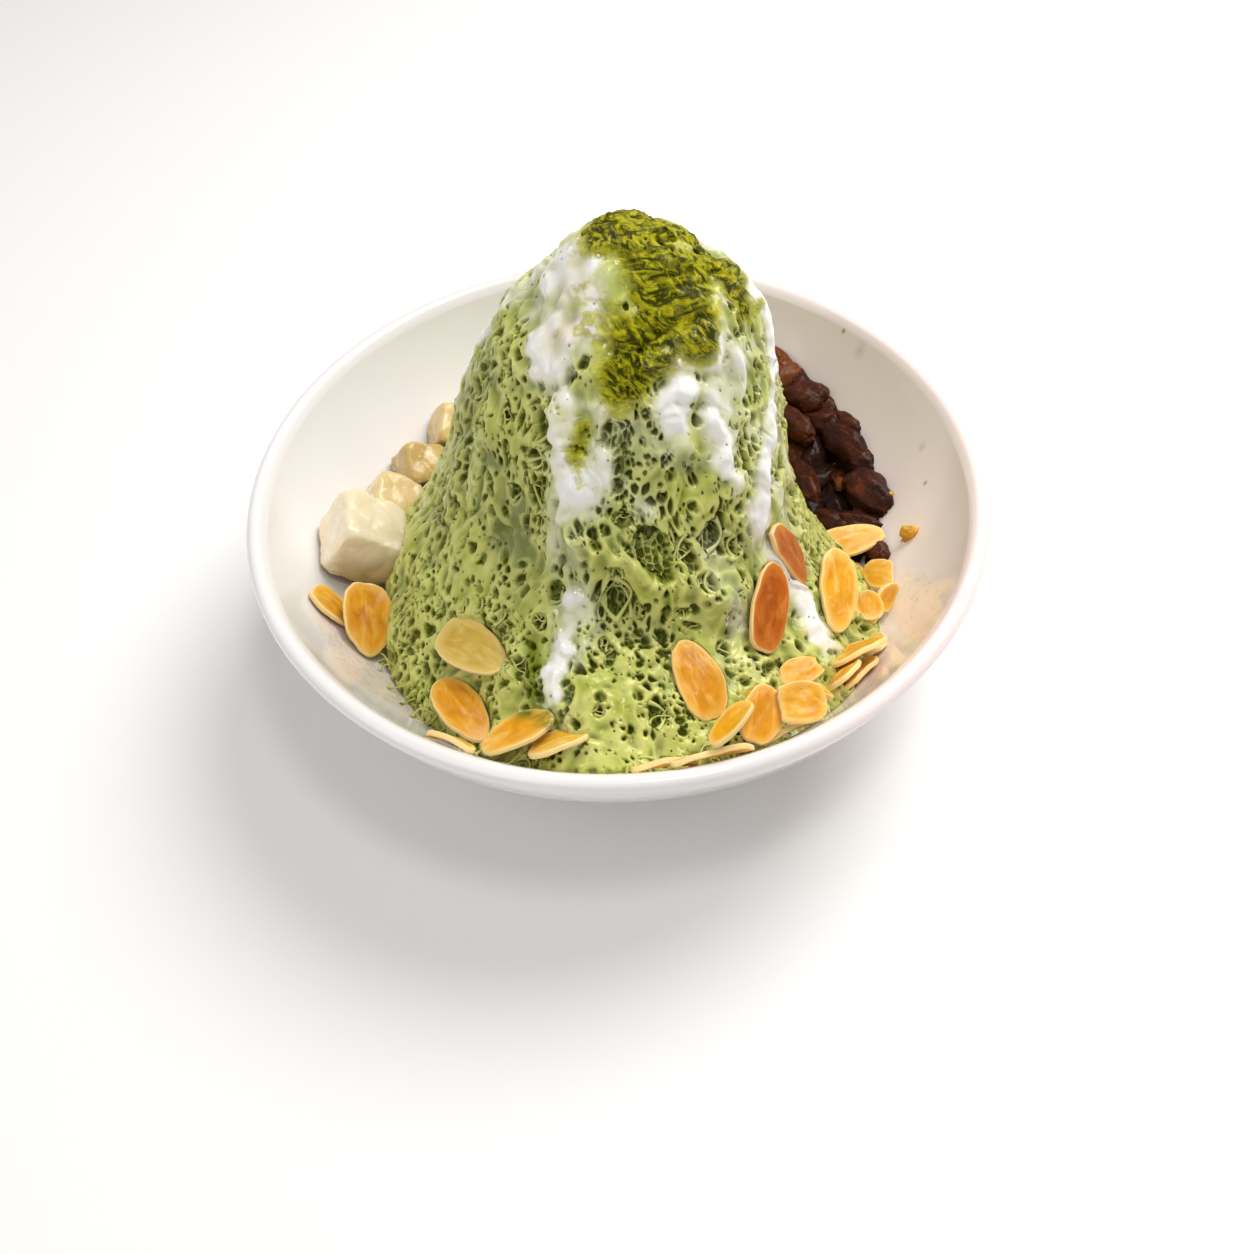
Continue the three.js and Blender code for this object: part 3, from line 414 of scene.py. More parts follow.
class Shader:
    """The nodes of one material."""

    def __init__(self, name):
        self.material = bpy.data.materials.new(name)
        self.material.use_nodes = True
        self.nodes = self.material.node_tree.nodes
        self.links = self.material.node_tree.links
        self.bsdf = self.nodes["Principled BSDF"]

    def plug(self, socket, value):
        if isinstance(value, bpy.types.NodeSocket):
            self.links.new(value, socket)
        else:
            socket.default_value = value

    def finish(self, **inputs):
        """Sets or links the surface's inputs, by names with _ for spaces."""
        for name, value in inputs.items():
            self.plug(self.bsdf.inputs[name.replace("_", " ")], value)
        return self.material

    def add(self, kind, inputs, **settings):
        """The outputs of a new node, with its settings made and its inputs set or linked."""
        node = self.nodes.new("ShaderNode" + kind)
        for name, value in settings.items():
            setattr(node, name, value)
        for key, value in inputs.items():
            self.plug(node.inputs[key], value)
        return node.outputs

    def place(self, stretch=(1, 1, 1)):
        """The place on the object, squeezed or stretched along its axes."""
        return self.stretched(self.add("TexCoord", {})["Object"], stretch)

    def stretched(self, source, stretch, turn=(0, 0, 0)):
        inputs = {"Rotation": turn, "Scale": stretch, "Vector": source}
        return self.add("Mapping", inputs)["Vector"]

    def attribute(self, name, output="Fac"):
        return self.add("Attribute", {}, attribute_name=name)[output]

    def noise(self, scale, vector, detail=3.0, roughness=0.55, distortion=0.0):
        inputs = {"Vector": vector, "Scale": scale, "Detail": detail, "Roughness": roughness,
                  "Distortion": distortion}
        return self.add("TexNoise", inputs)["Fac"]

    def spots(self, scale, vector, share, radius):
        """1 in round spots of up to `radius` cells, in about `share` of the cells."""
        cell = self.add("TexVoronoi", {"Vector": vector, "Scale": scale})
        size = self.spread(cell["Color"], 1 - share, 1 - 0.5 * share, 0, radius)
        return self.spread(self.math("SUBTRACT", size, cell["Distance"]), 0, 0.06)

    def math(self, operation, a, b=0.0):
        return self.add("Math", {0: a, 1: b}, operation=operation)[0]

    def times(self, a, b):
        return self.math("MULTIPLY", a, b)

    def plus(self, a, b):
        return self.math("ADD", a, b)

    def spread(self, value, low, high, to_low=0.0, to_high=1.0):
        """The value, with low to high brought to other limits and held there."""
        inputs = {"Value": value, "From Min": low, "From Max": high, "To Min": to_low,
                  "To Max": to_high}
        return self.add("MapRange", inputs)["Result"]

    def distance(self, vector, place):
        """Distance in metres from a place given in mm."""
        metres = [value * MM for value in place]
        return self.add("VectorMath", {0: vector, 1: metres}, operation="DISTANCE")["Value"]

    def mix(self, factor, a, b):
        """Colour a where the factor is 0 and colour b where it is 1."""
        return self.add("Mix", {"Factor": factor, 6: a, 7: b}, data_type="RGBA")[2]

    def over(self, base, mask, code, strength=1):
        """The base colour with another laid over it where the mask is."""
        mask = mask if strength == 1 else self.times(mask, strength)
        return self.mix(mask, base, colour(code))

    def bump(self, height, distance, strength=1.0, below=None):
        """Normals for a relief of the given height, over another relief's normals."""
        inputs = {"Distance": distance, "Strength": strength, "Height": height}
        if below is not None:
            inputs["Normal"] = below
        return self.add("Bump", inputs)["Normal"]


# ---------------------------------------------------------------- materials
def glaze_material():
    """Off-white glaze with specks and stains, a painted warm tint of the shade on the right wall, and
    what has run down the inner wall.
    """
    s = Shader("glaze")
    here, streaked = s.place(), s.place((1, 1, 0.6))
    base = s.mix(s.spread(s.noise(9, here, 2), 0.35, 0.65), colour("#f0eeee"), colour("#e9e5e3"))
    # Painted shade: a warm tint of the shade on the right wall.
    base = s.over(base, s.attribute("painted_shade_tint"), "#fbebe8")
    base = s.over(base, s.spots(420, here, 0.1, 0.13), "#a58d74", 0.5)
    base = s.over(base, s.spots(95, streaked, 0.06, 0.1), "#a8845a", 0.6)
    for place, radius, strength in STAINS:
        stain = s.spread(s.distance(streaked, place), radius * MM, 0, 0, strength)
        base = s.over(base, stain, "#c08f55")
    ragged = s.spread(s.noise(130, streaked, 4, 0.6), 0.2, 0.8, -0.35, 0.35)
    fibres = s.spread(s.noise(300, s.place((1, 1, 2.2)), 3, 0.6, 1.2), 0.54, 0.66)
    threads = s.spread(s.noise(340, s.place((1, 1, 2.5)), 3, 0.6, 1.5), 0.52, 0.62)
    puddle = s.spread(s.plus(s.attribute("puddle"), ragged), 0.25, 0.8)
    film = s.spread(s.plus(s.attribute("film"), ragged), 0.3, 0.8)
    base = s.over(base, puddle, "#efe3cc", 0.55)
    base = s.over(base, s.times(puddle, fibres), "#c3ab84", 0.35)
    base = s.over(base, film, "#f2e0d8", 0.7)
    base = s.over(base, s.times(film, threads), "#b4bb84", 0.4)
    relief = s.bump(s.noise(55, here, 2), 0.0004, 0.25)
    return s.finish(
        Base_Color=base, Roughness=0.16, Coat_Weight=0.5, Coat_Roughness=0.08,
        Subsurface_Weight=0.1, Subsurface_Scale=0.002, Subsurface_Radius=(1, 0.9, 0.8),
        Normal=s.bump(s.plus(puddle, film), 0.0003, 0.5, relief))


def ice_green(s, flow):
    """The bare ice: mottled, with painted shade that makes it greyer in hollows and darker low down,
    and painted light that makes it paler on its crests.
    """
    mottle = s.spread(s.noise(150, flow, 4), 0.36, 0.64)
    relief_shading = s.attribute("relief_shading")
    green = s.mix(mottle, colour("#a5ae42"), colour("#cdd174"))
    # Painted shade: greyer green from the tint field.
    green = s.over(green, s.attribute("tint"), "#838a50")
    # Painted shade in the hollows and painted light on the crests, from the relief.
    green = s.over(green, s.spread(relief_shading, 0.48, 0.15, 0, 0.7), "#6b7428")
    green = s.over(green, s.spread(relief_shading, 0.52, 0.78, 0, 0.5), "#dbd886")
    return s.over(green, s.attribute("olive"), "#707c0c")


def milky(s, here, green, milk, thick_milk):
    """The ice's colour under thin milk, and cream where the milk lies thick."""
    cream = s.mix(s.spread(milk, 0.7, 1.2), colour("#e7e4ca"), colour("#f3f2ef"))
    warm = s.spread(s.noise(90, here, 2), 0.5, 0.62, 0, 0.6)
    cream = s.over(cream, s.times(warm, s.attribute("warm")), "#f2dcc4")
    base = s.over(green, s.spread(milk, 0.1, 0.7), "#d5d8b4", 0.62)
    return s.mix(thick_milk, base, cream)


def powder_fibres(s, here):
    """Short strokes in the powder, level in some patches and sloping in others."""
    patches = s.spread(s.noise(110, here, 2), 0.46, 0.54)
    level = s.noise(620, s.place((0.35, 0.7, 1.3)), 3, 0.6, 0.9)
    sloping = s.stretched(s.stretched(here, (1, 1, 1), (0, -0.8, 0)), (0.35, 0.7, 1.3))
    return s.mix(patches, level, s.noise(620, sloping, 3, 0.6, 0.9))


def dusted(s, base, fibres):
    """Matcha over the base colour, and how well the powder hides what is under it."""
    matcha = s.attribute("matcha")
    clumps = s.noise(170, s.place((0.7, 0.8, 1.0)), 3, 0.6, 0.6)
    field = s.plus(matcha, s.spread(clumps, 0.2, 0.8, -0.38, 0.38))
    field = s.plus(field, s.spread(fibres, 0.3, 0.7, -0.22, 0.22))
    film = s.times(s.spread(field, 0.16, 0.4, 0, 0.9), s.spread(matcha, 0.02, 0.2))
    fringe = s.mix(s.spread(fibres, 0.42, 0.6), colour("#8b8a10"), colour("#c9c552"))
    powder = s.mix(s.spread(fibres, 0.44, 0.6), colour("#383a00"), colour("#aca618"))
    tea = s.spread(field, 0.48, 0.72)
    return s.mix(tea, s.mix(film, base, fringe), powder), tea


def pinholes(s, flow, milk):
    """Masks of the pores that are too fine for the mesh, painted dark as their shade: specks
    everywhere, pits in bare ice.
    """
    specks = s.times(s.spots(900, flow, 0.22, 0.3), s.spread(milk, 0.5, 1.0, 0.85, 0.7))
    fine = s.spots(760, s.place((1, 1, 0.6)), 0.26, 0.26)
    pits = s.math("MAXIMUM", s.spots(480, flow, 0.3, 0.24), fine)
    pits = s.times(pits, s.spread(milk, 0.2, 0.6, 0.95, 0))
    return specks, s.times(pits, s.spread(s.attribute("matcha"), 0.1, 0.4, 1, 0))


def ice_material():
    s = Shader("shaved_ice")
    here, flow = s.place(), s.place((1, 1, 0.5))
    milk = s.plus(s.attribute("milk"), s.spread(s.noise(300, flow, 3), 0, 1, -0.1, 0.1))
    thick_milk = s.spread(milk, 0.38, 0.95)
    specks, pits = pinholes(s, flow, milk)
    fibres = powder_fibres(s, here)
    base, tea = dusted(s, milky(s, here, ice_green(s, flow), milk, thick_milk), fibres)
    # Painted shade: the pores are darkened where shade falls in them.
    base = s.over(base, s.spread(s.attribute("pore_shade"), 0.15, 0.9), "#4f550f", 0.88)
    # Painted shade of the fine pores: olive specks and darker pits.
    base = s.over(s.over(base, specks, "#5d6a22"), pits, "#363a0a")
    grain = s.times(s.noise(1500, flow, 3), s.spread(thick_milk, 0, 1, 1, 0.2))
    relief = s.bump(s.times(fibres, tea), 0.0005, 0.6, s.bump(grain, 0.00012, 0.4))
    relief = s.bump(s.times(s.math("MAXIMUM", specks, pits), -1), 0.0006, 0.8, relief)
    rough = s.plus(s.spread(tea, 0, 1, 0.24, 0.55), s.spread(thick_milk, 0, 1, 0, -0.08))
    coat = s.plus(s.spread(tea, 0, 1, 0.4, 0.05), s.spread(thick_milk, 0, 1, 0, 0.4))
    return s.finish(
        Base_Color=base, Roughness=rough, Specular_IOR_Level=0.2,
        Specular_Tint=colour("#e8f08c"), Coat_Weight=coat, Coat_Roughness=0.06,
        Subsurface_Weight=0.12, Subsurface_Scale=0.001, Subsurface_Radius=(1, 1, 0.5),
        Normal=relief)


def bean_material():
    s = Shader("red_bean")
    here = s.place()
    skin = s.mix(s.spread(s.noise(260, here, 4), 0.35, 0.68), colour("#1e0703"), colour("#461a0b"))
    skin = s.over(skin, s.attribute("tone"), "#94501f")
    skin = s.over(skin, s.spread(s.attribute("ridge"), 0.55, 0.95), "#7d3a1c", 0.45)
    # Painted shade: darker under the beans and on those low in the heap.
    skin = s.over(skin, s.attribute("deep"), "#0c0301")
    wrinkles = s.noise(520, s.place((1, 0.6, 0.8)), 5, 0.65, 1.6)
    fold = s.math("ABSOLUTE", s.math("SUBTRACT", wrinkles, 0.5))
    return s.finish(
        Base_Color=skin, Roughness=0.42, Specular_IOR_Level=0.14, Coat_Weight=0.12,
        Coat_Roughness=0.12, Normal=s.bump(s.spread(fold, 0, 0.08), 0.0005, 0.6))


def syrup_and_shade_material():
    s = Shader("bean_syrup_and_shade")
    here = s.place()
    # Near black: syrup, and painted shade in the gaps between the beans.
    dark = s.mix(s.noise(300, here, 3), colour("#030000"), colour("#120402"))
    return s.finish(Base_Color=dark, Roughness=0.6, Specular_IOR_Level=0.04,
                    Normal=s.bump(s.noise(500, here, 4), 0.0006, 0.8))


def cake_material():
    s = Shader("rice_cake")
    here = s.place()
    # low: painted shade, with the yellower tone of the cakes at the back added.
    low = s.plus(s.attribute("low"), s.spread(s.noise(120, here, 3), 0.3, 0.7, -0.08, 0.08))
    layers = s.noise(230, s.place((0.5, 1.1, 1.2)), 4, 0.6, 1.4)
    base = s.mix(s.spread(low, 0, 0.5), colour("#efdfbf"), colour("#d2b36a"))
    base = s.over(base, s.spread(low, 0.45, 0.95), "#563800")
    base = s.over(base, s.spread(layers, 0.56, 0.64), "#fdf8ea", 0.4)
    return s.finish(
        Base_Color=base, Roughness=0.3, Specular_IOR_Level=0.4, Subsurface_Weight=0.35,
        Subsurface_Scale=0.004, Subsurface_Radius=(1, 0.8, 0.45), Coat_Weight=0.2,
        Coat_Roughness=0.15, Normal=s.bump(layers, 0.0003, 0.3))


def almond_material(name, centre, rim, blotch):
    s = Shader(name)
    local = s.attribute("local", "Vector")
    along = s.stretched(local, (0.35, 1, 1))
    grain = s.noise(600, along, 4, 0.6)
    clouds = s.noise(150, local, 3, 0.55, 0.8)
    smoke = s.noise(210, along, 4, 0.6, 1.6)
    edge = s.attribute("edge")
    soft_edge = s.plus(edge, s.spread(clouds, 0.3, 0.7, -0.08, 0.08))
    base = s.mix(s.spread(clouds, 0.4, 0.66), colour(centre), colour(blotch))
    base = s.over(base, s.spread(grain, 0.45, 0.75), rim, 0.22)
    base = s.over(base, s.spread(smoke, 0.5, 0.66), rim, 0.5)
    base = s.over(base, s.spread(soft_edge, 0.68, 0.92), rim, 0.5)
    # Painted highlight: a thin pale line along the edge.
    base = s.over(base, s.spread(edge, 0.93, 0.97), "#fbe3a6", 0.7)
    base = s.over(base, s.spots(420, local, 0.07, 0.17), "#8c4308", 0.6)
    smear = s.times(s.attribute("tea"), s.spread(s.noise(300, along, 4), 0.4, 0.6))
    return s.finish(
        Base_Color=s.over(base, smear, "#5e6a14"), Roughness=0.34, Specular_IOR_Level=0.2,
        Subsurface_Weight=0.15, Subsurface_Scale=0.0012, Subsurface_Radius=(1, 0.6, 0.15),
        Coat_Weight=0.12, Coat_Roughness=0.12,
        Normal=s.bump(smoke, 0.0003, 0.3, s.bump(grain, 0.0002, 0.35)))


def floor_material():
    return Shader("floor").finish(Base_Color=(0.9, 0.9, 0.89, 1), Roughness=0.9)


# ---------------------------------------------------------------- bowl
def bowl_profile():
    """Closed run of (radius, z) from the middle of the underside round to the inside."""
    lip = RIM_RADIUS - LIP_RADIUS
    lip_centre = RIM_HEIGHT - LIP_RADIUS
    under = [(0, FOOT_RECESS), (15, FOOT_RECESS), (28, FOOT_RECESS), (29.6, FOOT_RECESS - 0.3)]
    ring = [(-0.6, 0.9), (0, 0.25), (0.6, 0), (2, 0), (4.2, 0), (4.8, 0.3), (5, 0.9), (5, 2.5)]
    foot = [(FOOT_INNER_RADIUS + out, z) for out, z in ring]
    foot.append((FOOT_OUTER_RADIUS, outer_height(FOOT_OUTER_RADIUS) - 1))
    outside = [(r, outer_height(r)) for r in (36.6, 38, 41, 45, *range(49, 86, 3), 86.5, 88)]
    rim = [(lip + LIP_RADIUS * math.cos(t), lip_centre + LIP_RADIUS * math.sin(t))
           for t in np.radians(np.linspace(0, 135, 14))]
    top = inner_radius(lip_centre)
    inside = [(top * math.cos(t), inner_height(top * math.cos(t)))
              for t in np.linspace(0.02, math.pi / 2, 44)]
    return np.array(under + foot + outside + rim + inside, float)


def make_bowl():
    profile = bowl_profile()
    turn = np.linspace(0, 2 * math.pi, BOWL_SEGMENTS, endpoint=False)
    points = np.stack([profile[:, :1] * np.cos(turn), profile[:, :1] * np.sin(turn),
                       np.repeat(profile[:, 1:], BOWL_SEGMENTS, 1)], -1)
    wobble = BOWL_WOBBLE * noise(points / 38, 11)
    points[..., :2] *= (1 + wobble / RIM_RADIUS)[..., None]
    points = points.reshape(-1, 3)
    values = {name: smoothstep(4, -5, run_distance(points, np.array(run, float), widths))
              for name, (run, widths) in RESIDUE.items()}
    # painted warm tint of the shade, growing towards the right wall
    values["painted_shade_tint"] = smoothstep(10, 70, points[:, 0])
    faces = grid_faces(len(profile), BOWL_SEGMENTS)[:, ::-1]
    bowl = make_piece("bowl_glazed", points, [faces], glaze_material(), values)
    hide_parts("bowl")


# ---------------------------------------------------------------- ice surface
def around(values, degrees):
    """A smooth curve through eight values, or eight arrays of values, 45 degrees apart."""
    place = (degrees % 360) / 45
    first = np.floor(place).astype(int)
    f = place - first

    def take(step):
        index = (first + step) % 8
        if values.ndim == 1:
            return values[index]
        return np.take_along_axis(values, index[None], 0)[0]

    a, b, c, d = (take(step) for step in (-1, 0, 1, 2))
    return 0.5 * (2 * b + (c - a) * f + (2 * a - 5 * b + 4 * c - d) * f ** 2
                  + (3 * b - a - 3 * c + d) * f ** 3)


def column_points(degrees, heights):
    rows = [np.interp(heights, PROFILE_HEIGHTS[::-1], row[::-1]) for row in PROFILES]
    radius = around(np.array(rows), degrees)
    lean = np.clip((heights + 30) / 60, 0, 1)
    x = PEAK_X * lean + radius * np.cos(np.radians(degrees))
    y = PEAK_Y * lean + radius * np.sin(np.radians(degrees))
    return x, y


def mound_points(degrees, heights):
    """Points of the smooth mound. Under the rim it spreads out until it meets the wall."""
    degrees, heights = np.broadcast_arrays(np.asarray(degrees, float), np.asarray(heights, float))
    contact = around(CONTACT_HEIGHTS, degrees)
    x, y = column_points(degrees, heights)
    reach = np.hypot(x, y)
    foot = np.hypot(*column_points(degrees, contact))
    wall = inner_radius(RIM_HEIGHT + contact) - WALL_GAP
    spread = np.clip((contact + FOOT_BLEND - heights) / FOOT_BLEND, 0, 1) ** 2
    radius = reach + (wall - foot) * spread
    limit = inner_radius(RIM_HEIGHT + np.minimum(heights, 0)) - WALL_GAP
    radius = np.where(heights < 0, np.minimum(radius, limit), radius)
    scale = radius / np.maximum(reach, 1e-6)
    return np.stack([x * scale, y * scale, RIM_HEIGHT + heights], -1)


def even_rows(columns, rows):
    """Each column of points, (columns, n, 3), resampled evenly along its length."""
    steps = np.linalg.norm(np.diff(columns, axis=1), axis=-1)
    length = np.concatenate([np.zeros((len(columns), 1)), np.cumsum(steps, 1)], 1)
    wanted = np.linspace(0, 1, rows)
    out = np.empty((rows, len(columns), 3))
    for j, (run, points) in enumerate(zip(length, columns)):
        for k in range(3):
            out[:, j, k] = np.interp(wanted * run[-1], run, points[:, k])
    return out


def rounded(points, passes):
    """Softens the creases between rows; the foot stays where it is."""
    for _ in range(passes):
        points[1:-1] = 0.25 * (points[:-2] + 2 * points[1:-1] + points[2:])
        points[0] = points[1].mean(0)
    return points


def grid_normals(points):
    across = np.roll(points, -1, 1) - np.roll(points, 1, 1)
    down = np.gradient(points, axis=0)
    normal = np.cross(down, across)
    normal[0] = (0, 0, 1)
    return unit(normal)


def run_distance(points, run, widths=None):
    """Distance from points to a bent line, less the line's half width there."""
    best = np.full(points.shape[:-1], 1e9)
    widths = np.zeros(len(run)) if widths is None else widths
    for a, b, wa, wb in zip(run[:-1], run[1:], widths[:-1], widths[1:]):
        leg = b - a
        share = np.clip(((points - a) @ leg) / max(leg @ leg, 1e-9), 0, 1)
        gap = np.linalg.norm(points - a - share[..., None] * leg, axis=-1)
        best = np.minimum(best, gap - (wa + (wb - wa) * share))
    return best


def run_gap(points, run):
    """Distance from points to the edge of a run of [azimuth, height, half width] on the mound."""
    azimuth, height, width = np.array(run, float).T
    return run_distance(points, mound_points(azimuth, height), width)


def run_field(points, runs, blur):
    """1 inside such runs, falling to 0 over `blur` mm."""
    field = np.zeros(points.shape[:-1])
    for run in runs:
        field = np.maximum(field, smoothstep(blur, -blur, run_gap(points, run)))
    return field


def blurred(field, rows, columns):
    """The field's mean over a window; it joins up round the mound."""
    wide = np.pad(field, ((rows, rows), (0, 0)), mode="edge")
    total = np.cumsum(np.vstack([np.zeros((1, field.shape[1])), wide]), 0)
    field = (total[2 * rows + 1:] - total[:-2 * rows - 1]) / (2 * rows + 1)
    wide = np.pad(field, ((0, 0), (columns, columns)), mode="wrap")
    total = np.cumsum(np.hstack([np.zeros((len(field), 1)), wide]), 1)
    return (total[:, 2 * columns + 1:] - total[:, :-2 * columns - 1]) / (2 * columns + 1)


class Ice:
    """The ice's surface as a grid of rows from the peak to the wall, and what lies on it."""

    def __init__(self):
        front = np.linspace(FRONT_START, FRONT_END, FRONT_COLUMNS, endpoint=False)
        back = np.linspace(FRONT_END, FRONT_START + 360, BACK_COLUMNS, endpoint=False)
        self.azimuth = np.concatenate([front, back])
        share = np.linspace(0, 1, PROFILE_STEPS) ** PROFILE_EASE
        contact = around(CONTACT_HEIGHTS, self.azimuth)
        heights = PEAK - (PEAK - contact)[:, None] * share
        columns = mound_points(np.repeat(self.azimuth[:, None], len(share), 1), heights)
        self.points = rounded(even_rows(columns, ICE_ROWS), ROUNDING_PASSES)
        self.fold(contact)
        self.normals = grid_normals(self.points)
        self.milk = self.milk_field()
        self.matcha = FRINGE_POWDER * run_field(self.points, MATCHA_FRINGE, 4.0)
        self.matcha += FULL_POWDER * run_field(self.points, MATCHA, 4.0)
        self.matcha *= 1 - 0.8 * run_field(self.points, BARE, 1.2)
        self.olive = run_field(self.points, OLIVE_RUNS, 1.5)
        self.ripple = self.ripples()
        self.dig_pores()

    def foot_strip(self):
        """0 along the foot, rising to 1 a little way up the ice."""
        steps = np.linalg.norm(np.diff(self.points, axis=0), axis=-1)
        to_foot = np.cumsum(steps[::-1], 0)[::-1]
        return np.vstack([smoothstep(0, FOOT_FADE, to_foot), np.zeros(len(self.azimuth))])

    def fold(self, contact):
        """Raises the folds and sinks the hollows, less and less just over the foot."""
        out = np.zeros(self.points.shape[:-1])
        for run, width, height in FOLDS:
            line = mound_points(*np.array(run, float).T)
            out += height * np.exp(-0.5 * (run_distance(self.points, line) / width) ** 2)
        out *= smoothstep(0, FOLD_FADE, self.points[..., 2] - RIM_HEIGHT - contact)
        self.points += grid_normals(self.points) * out[..., None]

    def milk_field(self):
        """How well the milk hides the ice, over 1 where it is thickest; also sets its height."""
        points = self.points
        warp = 1.9 * noise(points / (5, 5, 7), 21, 2) + 0.9 * noise(points / 1.8, 24)
        cover = np.zeros(points.shape[:-1])
        height = np.zeros_like(cover)
        for run, thick, white in MILK:
            gap = run_gap(points, run) + warp
            cover = np.maximum(cover, white * smoothstep(*MILK_COVER_EDGE, gap))
            height = np.maximum(height, MILK_BODY * thick * smoothstep(*MILK_HEIGHT_EDGE, gap))
        lumps = noise(points / (4.0, 4.0, 5.5), 87)
        beads = noise(points / (2.6, 2.6, 3.6), 93)
        self.milk_height = height * (1 + 0.9 * lumps + 0.15 * beads)
        film = run_field(points, MILK_FILM, 5.0) * (0.4 + 0.4 * noise(points / (5, 5, 9), 27, 3))
        patchy = cover * (1 + 0.5 * lumps + 0.35 * beads)
        return np.clip(np.maximum(patchy, film), 0, 1.4)

    def ripples(self):
        """Ropes and hollows that run down the ice, in mm."""
        points = self.points
        self.bend = np.stack([noise(points / (8, 8, 11), seed, 2) for seed in (81, 83, 84)], -1)
        bend = 0.9 * self.bend[..., :1]
        ropes = 1 - 2 * np.abs(noise(points / (4.4, 4.4, 12) + bend, 82, 2))
        threads = 1 - 2 * np.abs(noise(points / (1.8, 1.8, 5.5) + 1.4 * bend, 85))
        lumps = 0.9 * noise(points / (11, 11, 15), 88, 2) + 0.35 * noise(points / 4.5, 89, 2)
        return 0.5 * ropes + 0.06 * threads + 1.25 * lumps

    def nearest(self, azimuth, height):
        """Row and column of a place on the grid."""
        turn = (self.azimuth - azimuth + 180) % 360 - 180
        column = int(np.argmin(np.abs(turn)))
        row = int(np.argmin(np.abs(self.points[:, column, 2] - RIM_HEIGHT - height)))
        return min(row, ICE_ROWS - 2), column

    def window(self, row, column, reach):
        """Places on the grid within `reach` mm of one, and their offsets across and down."""
        count = len(self.azimuth)
        centre = self.points[row, column]
        down = self.points[row + 1, column] - self.points[row - 1, column]
        across = self.points[row, (column + 1) % count] - self.points[row, column - 1]
        rows_reach = int(2 * reach / np.linalg.norm(down)) + 2
        columns_reach = int(2 * reach / np.linalg.norm(across)) + 2
        rows = np.arange(max(1, row - rows_reach), min(ICE_ROWS, row + rows_reach + 1))
        columns = np.arange(column - columns_reach, column + columns_reach + 1) % count
        index = rows[:, None], columns[None]
        offset = self.points[index] - centre
        return index, offset @ unit(across), offset @ unit(down)

    def dig(self, pore, depth, pore_shade_strength):
        """Sinks one oval pore with a soft lip and a netted floor."""
        place, half_width, half_length, tilt = pore
        index, u, v = self.window(*place, max(half_width, half_length) + 1.2)
        c, s = math.cos(math.radians(tilt)), math.sin(math.radians(tilt))
        far = np.hypot((u * c - v * s) / half_width, (u * s + v * c) / half_length)
        ragged = PORE_RAGGED * min(half_width, 1) * self.ragged[index]
        gap = (far - 1) * min(half_width, half_length) + ragged
        inside = smoothstep(0.25, -0.45, gap)
        net = self.floor_net[index]
        self.depth[index] = np.maximum(self.depth[index] * (1 - inside), inside * (depth - 0.8 * net))
        self.depth[index] -= 0.2 * np.exp(-((gap - 0.5) / 0.4) ** 2)
        # Painted shade in the pore, less over its netted floor.
        self.pore_shade[index] = np.maximum(self.pore_shade[index], inside * pore_shade_strength * (1 - 0.8 * net))

    def net(self, size, stretch, seed):
        """How far each place is from the walls of stretched cells in mm, and the cell's value."""
        spot = (self.points + NET_BEND * self.bend) / (size, size, size * stretch)
        first, second, value = cells(spot, seed)
        return (second - first) * size / 2, value

    def dig_pores(self):
        """Sets the surface's depth in its pores, in mm, and how much shade is painted in each place of
        them.
        """
        points = self.points
        self.ragged = noise(points / (1.3, 1.3, 2.2), 41)
        self.depth = np.zeros(points.shape[:-1])
        self.pore_shade = np.zeros_like(self.depth)
        self.sites = []
        self.floor_net = smoothstep(0.2, 0.06, self.net(*FLOOR_NET)[0])
        self.dig_nets()
        self.dig_small_pores()
        for azimuth, height, half_width, half_length, tilt in LARGE_PORES:
            pore = self.nearest(azimuth, height), half_width, half_length, tilt
            self.dig(pore, 1.3 + 0.6 * min(half_width, half_length), 0.85)
            self.sites.append(pore)
        shut = smoothstep(0.35, 0.85, self.milk)
        self.depth *= (1 - 0.95 * shut) * self.foot_strip()
        self.pore_shade *= 1 - 0.9 * shut

    def dig_small_pores(self):
        rng = np.random.default_rng(3)
        for _ in range(SMALL_PORES):
            place = self.nearest(rng.uniform(FRONT_START, FRONT_END), rng.uniform(*SMALL_PORE_HEIGHTS))
            half_width = rng.uniform(*SMALL_PORE_WIDTHS)
            pore = place, half_width, half_width * rng.uniform(1.0, 2.0), rng.normal(0, 30)
            self.dig(pore, 0.8 + 0.6 * half_width, 0.95)

    def dig_nets(self):
        """Sinks the cells of each net where the ice is open; elsewhere their walls fill them."""
        points = self.points
        high = smoothstep(46, 60, points[..., 2] - RIM_HEIGHT)
        areas = run_field(points, NETTED, 3.0) - run_field(points, CLOSED, 3.0)
        flank = smoothstep(-22, -34, points[..., 0])
        for size, stretch, seed, wall, share, deep, by_area, by_flank, netted in NETS:
            patches = noise(points / (6, 6, 8.5), seed + 9, 2)
            openness = share + 0.62 * patches + by_area * areas - 0.5 * high - by_flank * flank
            gap, value = self.net(size, stretch, seed)
            filled = size * 0.8 * np.maximum(0, value - openness)
            wall_here = wall * (1 + 0.5 * self.ragged) + filled
            inside = smoothstep(wall_here, wall_here + 0.16 * size, gap)
            lip = 0.1 * deep * np.exp(-((gap - wall_here) / (0.12 * size)) ** 2) * (gap > 0.05)
            lip *= smoothstep(0.6, 0.2, wall_here / size)
            floor_net = self.floor_net * netted
            self.depth = np.maximum(self.depth, inside * (deep - 0.5 * floor_net)) - lip
            # Painted shade in the open cells of the net.
            self.pore_shade = np.maximum(self.pore_shade, inside * (1 - 0.7 * floor_net))

